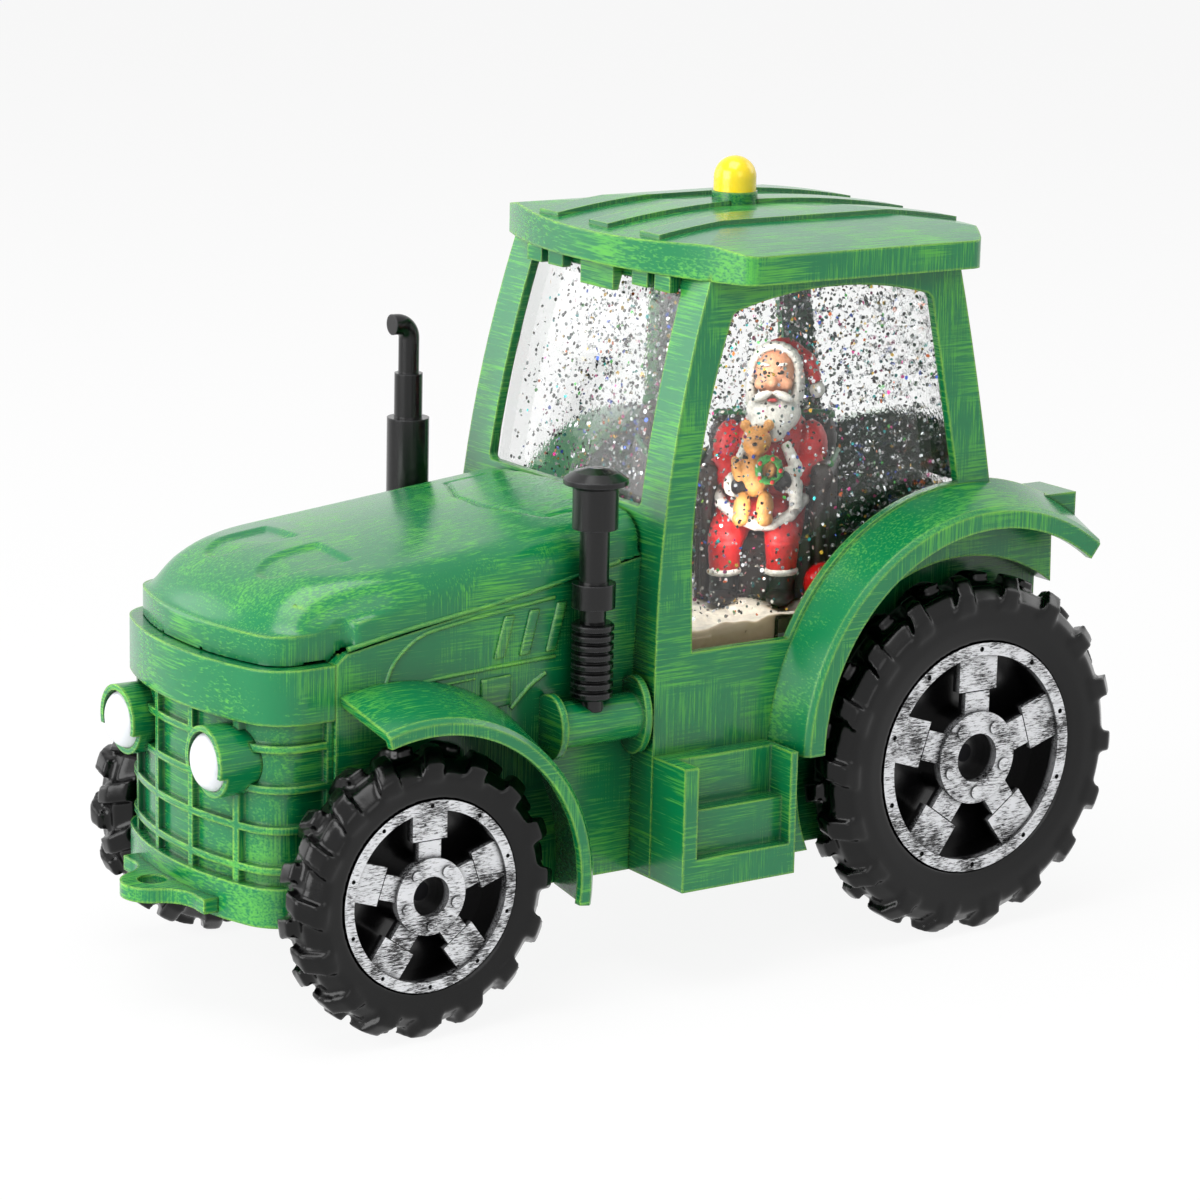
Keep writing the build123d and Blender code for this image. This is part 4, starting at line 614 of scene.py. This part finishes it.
tank_clear, tree, out = new_material("tank_clear")
wiped = stretched(tree, clouds(tree, 180.0, 3.0), 0.35, 0.75, 0.0, 0.03)
shell = put(tree, "ShaderNodeBsdfPrincipled", {"Base Color": (1, 1, 1, 1),
            "Roughness": wiped, "IOR": 1.01, "Transmission Weight": 1.0,
            "Coat Weight": 0.45, "Coat Roughness": 0.02})
let_light_through(tree, out, shell)
finish_nodes(("tank",), tank_clear)

inner = bmesh.new()
inner.from_mesh(tank.data)
bmesh.ops.remove_doubles(inner, verts=inner.verts, dist=0.01 * mm)
foot_faces = [face for face in inner.faces
              if all(corner.co.z < tank_low.z + 0.1 * mm for corner in face.verts)]
bmesh.ops.delete(inner, geom=foot_faces, context="FACES")
waiting, outer_wall = [max(inner.verts, key=lambda corner: corner.co.z)], set()
while waiting:
    corner = waiting.pop()
    if corner not in outer_wall:
        outer_wall.add(corner)
        waiting.extend(edge.other_vert(corner) for edge in corner.link_edges)
bmesh.ops.delete(inner, geom=list(outer_wall), context="VERTS")
bmesh.ops.bisect_plane(inner, geom=inner.verts[:] + inner.edges[:] + inner.faces[:],
                       plane_co=(0, 0, floor_z + 0.1 * mm), plane_no=(0, 0, 1), clear_inner=True)
bmesh.ops.holes_fill(inner, edges=[edge for edge in inner.edges if edge.is_boundary])
bmesh.ops.recalc_face_normals(inner, faces=inner.faces)
inner.normal_update()
water_gap = 0.06 * mm
for corner in inner.verts:
    corner.co -= corner.normal * water_gap
water_mesh = bpy.data.meshes.new("water")
inner.to_mesh(water_mesh)
water_clear, tree, out = new_material("water_clear")
water = put(tree, "ShaderNodeBsdfPrincipled", {"Base Color": (0.985, 0.995, 0.99, 1),
            "Roughness": 0.0, "IOR": 1.22, "Transmission Weight": 1.0,
            "Normal": bumped(tree, clouds(tree, 90.0, 1.0), 0.10, 0.2 * mm)})
let_light_through(tree, out, water)
add_piece("water", water_mesh, "casing", water_clear)


# ------------------------------------------------------------ glitter
# Thin metal-coated film is cut into six-sided flakes, most of them silver. They drift
# through all of the water.
flake_count, flake_corners = 10000, 6
flake_small, flake_large, wall_gap = 0.24, 0.50, 0.5 * mm
chance = random.Random(12)
flakes = bmesh.new()
water_low = Vector((tank_low.x, tank_low.y, floor_z)) + Vector((2.2, 2.2, 2.0)) * mm
water_high = tank_high - Vector((2.2, 2.2, 2.2)) * mm
walls = BVHTree.FromBMesh(inner)
up = Vector((0, 0, 1))
placed = 0
while placed < flake_count:
    spot = Vector(chance.uniform(a, b) for a, b in zip(water_low, water_high))
    hit = walls.ray_cast(spot, up)
    near = walls.find_nearest(spot)[3]
    if hit[0] is None or hit[1].z < 0 or near < wall_gap:
        continue
    placed += 1
    size = chance.uniform(flake_small, flake_large) * mm
    tilt = Euler([chance.uniform(0, math.tau) for _ in range(3)]).to_matrix()
    corners = (math.tau * at / flake_corners for at in range(flake_corners))
    flakes.faces.new([flakes.verts.new(spot + tilt @ Vector((math.cos(corner) * size,
                      math.sin(corner) * size, 0))) for corner in corners])
inner.free()
glitter_mesh = bpy.data.meshes.new("glitter")
flakes.to_mesh(glitter_mesh)
flakes.free()
glitter_foil, tree, out = new_material("glitter_foil")
island = put(tree, "ShaderNodeNewGeometry")
shades = put(tree, "ShaderNodeValToRGB", {"Fac": island.outputs["Random Per Island"]})
shades.color_ramp.interpolation = "CONSTANT"
# Silver flakes come in four greys from dark to white. The dark and mid grey ones are painted shade,
# for silver flakes that mirror no light. The gold and coloured flakes keep their own colours.
foils_and_shaded_silver = ((0.0, (58, 60, 62)), (0.22, (120, 122, 124)), (0.44, (186, 188, 190)),
         (0.62, (246, 247, 250)), (0.78, (214, 170, 60)), (0.82, (40, 150, 150)),
         (0.86, (190, 60, 130)), (0.90, (60, 90, 190)), (0.94, (70, 160, 70)),
         (0.97, (220, 110, 50)))
for at, (place, tone) in enumerate(foils_and_shaded_silver):
    stop = shades.color_ramp.elements[at] if at < 2 else shades.color_ramp.elements.new(place)
    stop.position = place
    stop.color = paint(*tone)
surface(tree, out, {"Base Color": shades.outputs["Color"], "Metallic": 0.75,
        "Roughness": 0.22})
add_piece("glitter", glitter_mesh, "casing", glitter_foil)


# ------------------------------------------------------------ snow
# The scene stands on a cast resin base that fills the tank's floor. It is painted cream white
# and left uneven, like trodden snow.
def hand_paint_group():
    """Thin paint over a resin casting: cloudy tone, painted shade in hollows, painted highlight on
    raised parts.
    """
    group, given = new_group("hand_paint", {"Paint": "Color", "Hollow shade": "Color",
                             "Raised": "Color", "Grain": "Float"},
                             {"Color": "Color", "Roughness": "Float", "Height": "Float"})
    place = put(group, "ShaderNodeTexCoord").outputs["Object"]
    cloud = clouds(group, given["Grain"], 5.0, place, 0.6)
    # Painted shade: hollows within 1.6 mm take on the darker shade colour.
    hollow_shade = stretched(group, shelter(group, 1.6 * mm, 4), 0.35, 0.85, 0.85, 0.0)
    rise = put(group, "ShaderNodeNewGeometry").outputs["Pointiness"]
    # Painted highlight: raised, pointed parts take on the lighter colour.
    raised_highlight = stretched(group, rise, 0.52, 0.60, 0.0, 0.7)
    mottle = stretched(group, cloud, 0.35, 0.65, 0.72, 1.08)
    base = mixed(group, 1.0, given["Paint"], mottle, blend_type="MULTIPLY")
    light = mixed(group, raised_highlight, base, given["Raised"])
    put(group, "NodeGroupOutput", {"Color": mixed(group, hollow_shade, light, given["Hollow shade"]),
        "Roughness": stretched(group, cloud, 0.0, 1.0, 0.35, 0.6), "Height": cloud})
    return group


hand_paint = hand_paint_group()


def painted_resin(name, colour, hollow_shade, raised, grain=900.0, depth=0.1 * mm):
    """Resin casting with hand-laid paint, painted shade in its hollows and a painted highlight on
    its raised parts.
    """
    material, tree, out = new_material(name)
    coat = put(tree, "ShaderNodeGroup", {"Paint": colour, "Hollow shade": hollow_shade, "Raised": raised,
               "Grain": grain}, node_tree=hand_paint).outputs
    surface(tree, out, {"Base Color": coat["Color"], "Roughness": coat["Roughness"],
            "Normal": bumped(tree, coat["Height"], 0.5, depth),
            "Coat Weight": 0.15, "Coat Roughness": 0.25})
    return material


snow_white = painted_resin("snow_white", paint(246, 240, 226), paint(176, 146, 104),
                           paint(255, 253, 246), 500.0, 0.3 * mm)
snow = add_piece("snow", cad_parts["snow_base"].data.copy(), "casing", snow_white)
melt(snow, 0.55 * mm, 2)
snow_rim, snow_height = 2.6 * mm, 1.5 * mm
for point in snow.data.vertices:
    if point.co.z > floor_z + snow_rim:
        broad = noise.noise(point.co * 95) + 0.5 * noise.noise(point.co * 260)
        point.co.z += (broad - 0.2) * snow_height
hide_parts("snow_base")


# ------------------------------------------------------------ armchair
# A winged armchair stands on the snow, turned to look out of the cab's front left corner. It
# is cast in resin and painted dark, with green dragged over its rolled top edges.
chair_low, chair_high = (Vector(corner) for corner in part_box("armchair"))
seat_turn = Matrix.Rotation(math.radians(55), 4, "Z")
seat_foot = Vector(((chair_low.x + chair_high.x) / 2, (chair_low.y + chair_high.y) / 2,
                    chair_low.z))
seat_place = (Matrix.Translation(seat_foot) @ seat_turn
              @ Matrix.Translation((0, -1.25 * mm, 0)))


def carved(name, lumps, material, grain=0.34 * mm, rounds=2):
    """One cast piece: balls, rods and slabs given in mm from the seat, melted together.

    A ball or a slab has a centre, its half sizes and at times a tilt in degrees. A rod has
    its two ends and its radius at each.
    """
    shape = bmesh.new()
    for kind, first, second, *more in lumps:
        if kind == "rod":
            start, end = Vector(first), Vector(second)
            run = end - start
            place = (Matrix.Translation((start + end) / 2)
                     @ run.to_track_quat("Z", "Y").to_matrix().to_4x4())
            bmesh.ops.create_cone(shape, cap_ends=True, segments=28, radius1=more[0],
                                  radius2=more[1], depth=run.length, matrix=place)
            continue
        tilt = Euler([math.radians(part) for part in (more[0] if more else (0, 0, 0))])
        place = (Matrix.Translation(first) @ tilt.to_matrix().to_4x4()
                 @ Matrix.Diagonal((*second, 1)))
        if kind == "ball":
            bmesh.ops.create_icosphere(shape, subdivisions=3, radius=1, matrix=place)
        else:
            bmesh.ops.create_cube(shape, size=2, matrix=place)
    shape.transform(seat_place @ Matrix.Diagonal((mm, mm, mm, 1)))
    mesh = bpy.data.meshes.new(name)
    shape.to_mesh(mesh)
    shape.free()
    piece = add_piece(name, mesh, "casing", material)
    melt(piece, grain, rounds)
    return piece


chair_dark = painted_resin("chair_dark", paint(44, 34, 30), paint(12, 10, 9), paint(96, 84, 62),
                           700.0, 0.2 * mm)
chair_lumps = [("slab", (0, -0.5, 6.6), (11, 8.6, 6.6)),
               ("ball", (0, -2, 13), (10.5, 7.5, 2.2)),
               ("slab", (0, 9.0, 18), (13.4, 2.2, 18)),
               ("rod", (-12.6, 9.4, 35.4), (12.6, 9.4, 35.4), 2.6, 2.6),
               ("ball", (0, 7.6, 26), (11, 1.8, 9))]
for side in (-1, 1):
    chair_lumps += [("slab", (side * 13, 0, 13), (2.3, 8.6, 13)),
                    ("rod", (side * 13, -9.2, 26.4), (side * 13, 9, 27.2), 2.7, 2.7),
                    ("ball", (side * 13, -9.2, 26.4), (2.9, 1.2, 2.9)),
                    ("rod", (side * 12.8, -8.9, 1), (side * 12.8, -8.9, 25), 1.3, 1.6),
                    ("ball", (side * 12.4, 8.6, 32), (2.4, 3.2, 4.4)),
                    ("ball", (side * 12, -8.4, 1.4), (1.9, 1.9, 1.5))]
chair = carved("chair_casting", chair_lumps, chair_dark)
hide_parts("armchair")
chair_green = painted_resin("chair_green", paint(30, 104, 58), paint(14, 36, 22),
                            paint(120, 176, 84))
piping_lumps = [("rod", (-12.8, 8.2, 37.2), (12.8, 8.2, 37.2), 0.9, 0.9)]
for side in (-1, 1):
    piping_lumps += [("ball", (side * 12.9, 8.4, 36.8), (1.3, 1.3, 1.3)),
                     ("rod", (side * 15.2, -9.4, 29), (side * 15.2, 6, 29.6), 0.7, 0.7)]
carved("chair_piping", piping_lumps, chair_green, 0.25 * mm)


# ------------------------------------------------------------ Father Christmas
# A bearded old man sits in the chair in a red coat with white fur, black boots and a drooping
# cap. The face is plain and calm. The figure is one casting, painted by hand.
coat_red = painted_resin("coat_red", paint(196, 22, 26), paint(84, 8, 12), paint(228, 74, 66))
fur_white = painted_resin("fur_white", paint(222, 220, 214), paint(140, 128, 112),
                          paint(250, 248, 242), 1100.0, 0.6 * mm)
skin_tone = painted_resin("skin_tone", paint(222, 158, 124), paint(164, 98, 76),
                          paint(236, 184, 152))
boot_black = painted_resin("boot_black", paint(26, 24, 24), paint(8, 8, 8), paint(74, 70, 66))
face_x, leg_places = 1.5, (-8.0, 5.0)
coat_lumps = [("ball", (1, -0.6, 32), (8.9, 7.2, 8.6)), ("ball", (0, -2.6, 24), (9.4, 8.0, 8.0)),
              ("ball", (-1, -6, 19), (10.6, 8.2, 4.6)), ("ball", (-8.8, -2, 31), (3.9, 4.4, 6.4)),
              ("ball", (9.8, -2, 31), (3.9, 4.4, 6.4)),
              ("rod", (-9.8, -3.5, 27.6), (-6.2, -12, 25.6), 3.7, 2.8),
              ("rod", (10.6, -3.5, 27.6), (6.0, -12, 26.2), 3.7, 2.8),
              ("ball", (face_x + 1.2, -2.2, 50.4), (5.4, 4.6, 4.4)),
              ("rod", (face_x + 2.4, -2.4, 51.4), (8.4, -2.6, 49.6), 3.2, 2.2),
              ("ball", (8.4, -2.6, 49.6), (2.2, 2.2, 2.2)),
              ("rod", (8.6, -2.6, 49.4), (10.6, -3.0, 45.4), 2.1, 1.3)]
for x in leg_places:
    coat_lumps += [("rod", (x * 0.9, -5, 17), (x, -12.6, 13.6), 4.8, 4.1),
                   ("ball", (x, -12.6, 13.4), (4.1, 3.9, 3.8)),
                   ("rod", (x, -13.0, 13), (x, -13.2, 6), 3.9, 3.3)]
figure = carved("figure_coat", coat_lumps, coat_red)
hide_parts("santa_figure")
fur_lumps = [("ball", (face_x, -7.6, 39.6), (6.4, 3.2, 4.6)),
             ("ball", (face_x - 0.4, -8.6, 37.2), (4.8, 3.0, 3.2)),
             ("ball", (face_x + 0.6, -9.2, 35.6), (2.6, 2.2, 2.0)),
             ("ball", (face_x - 2.5, -10.7, 43.6), (2.6, 1.0, 0.95), (0, -20, 0)),
             ("ball", (face_x + 2.5, -10.7, 43.6), (2.6, 1.0, 0.95), (0, 20, 0)),
             ("ball", (face_x - 5.3, -6, 44.6), (1.5, 2.8, 4.6)),
             ("ball", (face_x + 5.3, -6, 44.6), (1.5, 2.8, 4.6)),
             ("ball", (face_x - 2.0, -10.5, 50.2), (1.4, 0.5, 0.4), (0, 8, 0)),
             ("ball", (face_x + 2.0, -10.5, 50.2), (1.4, 0.5, 0.4), (0, -8, 0)),
             ("ball", (10.9, -3.1, 43.9), (1.8, 1.8, 1.8)),
             ("rod", (-2.6, -8.6, 37), (-5.6, -9.6, 30), 1.2, 1.2),
             ("rod", (4.6, -9.4, 33.4), (7.4, -11.6, 28.8), 1.2, 1.5),
             ("ball", (7.4, -11.6, 28.8), (1.6, 1.6, 1.6)),
             ("rod", (7.4, -11.6, 28.8), (7.8, -12.4, 20), 1.6, 1.6)]
cap_tufts = 12
for at in range(cap_tufts + 1):
    around = math.pi * at / cap_tufts
    tuft = (face_x + 5.3 * math.cos(around), -7.0 + 0.6 * math.cos(2 * around),
            48.2 + 5.6 * math.sin(around))
    fur_lumps.append(("ball", tuft, (1.25, 2.0, 1.1)))
hem = ((-11.2, -5, 23.6), (-9.4, -10.2, 21), (-5.6, -13, 18.4), (-1, -14, 16.9), (3, -13.8, 16.8),
       (6.6, -12.4, 18.6), (9, -8.6, 21.4))
for start, end in zip(hem, hem[1:]):
    fur_lumps.append(("rod", start, end, 1.35, 1.35))
    fur_lumps.append(("ball", end, (1.5, 1.5, 1.4)))
for cuff, toe_in in (((-6.0, -12.4, 25.4), 24), ((5.8, -12.4, 26.1), -24)):
    fur_lumps.append(("ball", cuff, (3.0, 1.5, 3.0), (12, 0, toe_in)))
for x in leg_places:
    fur_lumps.append(("ball", (x, -13.2, 6.9), (4.0, 4.0, 1.3)))
carved("figure_fur", fur_lumps, fur_white, 0.3 * mm)
carved("figure_face", [("ball", (face_x, -5.7, 48.0), (4.9, 5.1, 5.9)),
                       ("ball", (face_x, -10.9, 46.4), (1.1, 1.1, 0.95)),
                       ("ball", (face_x - 2.7, -9.4, 46.0), (1.7, 1.2, 1.4)),
                       ("ball", (face_x + 2.7, -9.4, 46.0), (1.7, 1.2, 1.4)),
                       ("ball", (face_x, -10.3, 47.8), (0.7, 0.8, 1.8))],
       skin_tone, 0.25 * mm, 1)
carved("figure_mouth", [("ball", (face_x, -10.6, 42.7), (1.2, 0.7, 0.5))],
       painted_resin("lip_red", paint(176, 52, 52), paint(110, 26, 30), paint(206, 96, 92)),
       0.15 * mm, 1)
dark_lumps = [("ball", (face_x + side * 1.9, -10.3, 48.5), (0.55, 0.5, 0.5)) for side in (-1, 1)]
dark_lumps += [("ball", (-4.7, -14.4, 25.2), (2.2, 2.2, 2.3)),
               ("ball", (4.6, -14.2, 26.2), (2.2, 2.2, 2.3))]
for x in leg_places:
    dark_lumps += [("rod", (x, -13.2, 6.6), (x, -13.4, 0.8), 3.2, 3.4),
                   ("ball", (x, -15.6, 1.7), (3.2, 4.6, 1.9))]
carved("figure_boots", dark_lumps, boot_black, 0.25 * mm, 1)


# ------------------------------------------------------------ teddy bear, wreath and ball
# He holds a tan teddy bear with a small wreath, cast and painted like himself. A red glass
# ball with a gold cap lies by the chair.
teddy_tan = painted_resin("teddy_tan", paint(190, 132, 70), paint(100, 60, 26),
                          paint(222, 176, 116), 1600.0, 0.3 * mm)
bear_x = -1.5
teddy_lumps = [("ball", (bear_x, -13.6, 34.6), (3.4, 3.0, 3.2)),
               ("ball", (bear_x, -16.0, 33.8), (1.5, 1.1, 1.2)),
               ("ball", (bear_x - 0.4, -13.2, 27.4), (4.1, 3.6, 4.8))]
for side in (-1, 1):
    teddy_lumps += [("ball", (bear_x + side * 2.6, -13.2, 37.8), (1.3, 0.8, 1.3)),
                    ("ball", (bear_x + side * 3.9, -15.0, 28.6), (1.4, 1.8, 3.2), (0, side * 18, 0)),
                    ("ball", (bear_x + side * 2.6, -15.8, 21.0), (2.0, 2.4, 3.4)),
                    ("ball", (bear_x + side * 2.8, -17.0, 18.6), (1.9, 1.7, 1.6))]
bear = carved("teddy_casting", teddy_lumps, teddy_tan, 0.27 * mm)
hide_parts("teddy_bear")
carved("teddy_eyes", [("ball", (bear_x - 1.1, -16.1, 35.5), (0.4, 0.4, 0.4)),
                      ("ball", (bear_x + 1.1, -16.1, 35.5), (0.4, 0.4, 0.4)),
                      ("ball", (bear_x, -17.1, 34.4), (0.6, 0.4, 0.42))],
       boot_black, 0.12 * mm, 1)
wreath_x, wreath_z, leaf_count, leaves_to_berry = 2, 29.0, 20, 4
wreath_lumps, berry_lumps = [], []
for at in range(leaf_count):
    out_x, out_z = math.cos(math.tau * at / leaf_count), math.sin(math.tau * at / leaf_count)
    leaf = (wreath_x + 2.5 * out_x, -17.0 - 0.3 * out_z, wreath_z + 2.5 * out_z)
    wreath_lumps.append(("ball", leaf, (0.95, 0.8, 0.6), (0, chance.uniform(0, 180), 0)))
    if at % leaves_to_berry == 0:
        berry = (wreath_x + 2.6 * out_x, -18.0, wreath_z + 2.6 * out_z)
        berry_lumps.append(("ball", berry, (0.5, 0.5, 0.5)))
wreath_green = painted_resin("wreath_green", paint(34, 112, 44), paint(12, 46, 20),
                             paint(106, 168, 84))
carved("wreath", wreath_lumps, wreath_green, 0.22 * mm, 1)
carved("wreath_berries", berry_lumps, coat_red, 0.15 * mm, 1)
ball_low, ball_high = (Vector(corner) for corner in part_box("ornament_ball"))
ball_centre = seat_place.inverted() @ ((ball_low + ball_high) / 2) / mm
ball_radius = (ball_high.z - ball_low.z) / 2 / mm
ball_red, tree, out = new_material("ball_red")
surface(tree, out, {"Base Color": mixed(tree, clouds(tree, 300.0, 3.0), paint(176, 10, 20),
                                        paint(226, 36, 40)),
        "Roughness": 0.12, "Metallic": 0.3, "Coat Weight": 1.0, "Coat Roughness": 0.04})
ball = carved("ball_glazed", [("ball", ball_centre, (ball_radius,) * 3)], ball_red,
              0.25 * mm, 1)
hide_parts("ornament_ball")
carved("ball_cap", [("rod", ball_centre + Vector((1.6, -0.8, ball_radius - 1.1)),
                     ball_centre + Vector((2.2, -1.1, ball_radius + 0.3)), 1.1, 0.9)],
       worn_metal("cap_gold", paint(212, 168, 60), 0.25, 800.0), 0.15 * mm, 1)


# ------------------------------------------------------------ light of the lantern
# A lamp under the tank's floor lights the water and its flakes from within. Two small warm
# lamps in front of the figure, which nothing shows, stand for that light.
for name, place, power in (("glow_front", (-4, -23, 56), 0.022),
                           ("glow_low", (-4, -21, 20), 0.02)):
    lamp = bpy.data.lights.new(name, "POINT")
    lamp.energy = power
    lamp.shadow_soft_size = 7 * mm
    lamp.color = (1.0, 0.95, 0.88)
    holder = new_object(name, lamp)
    holder.location = seat_place @ (Vector(place) * mm)
    holder.visible_camera = holder.visible_glossy = holder.visible_transmission = False
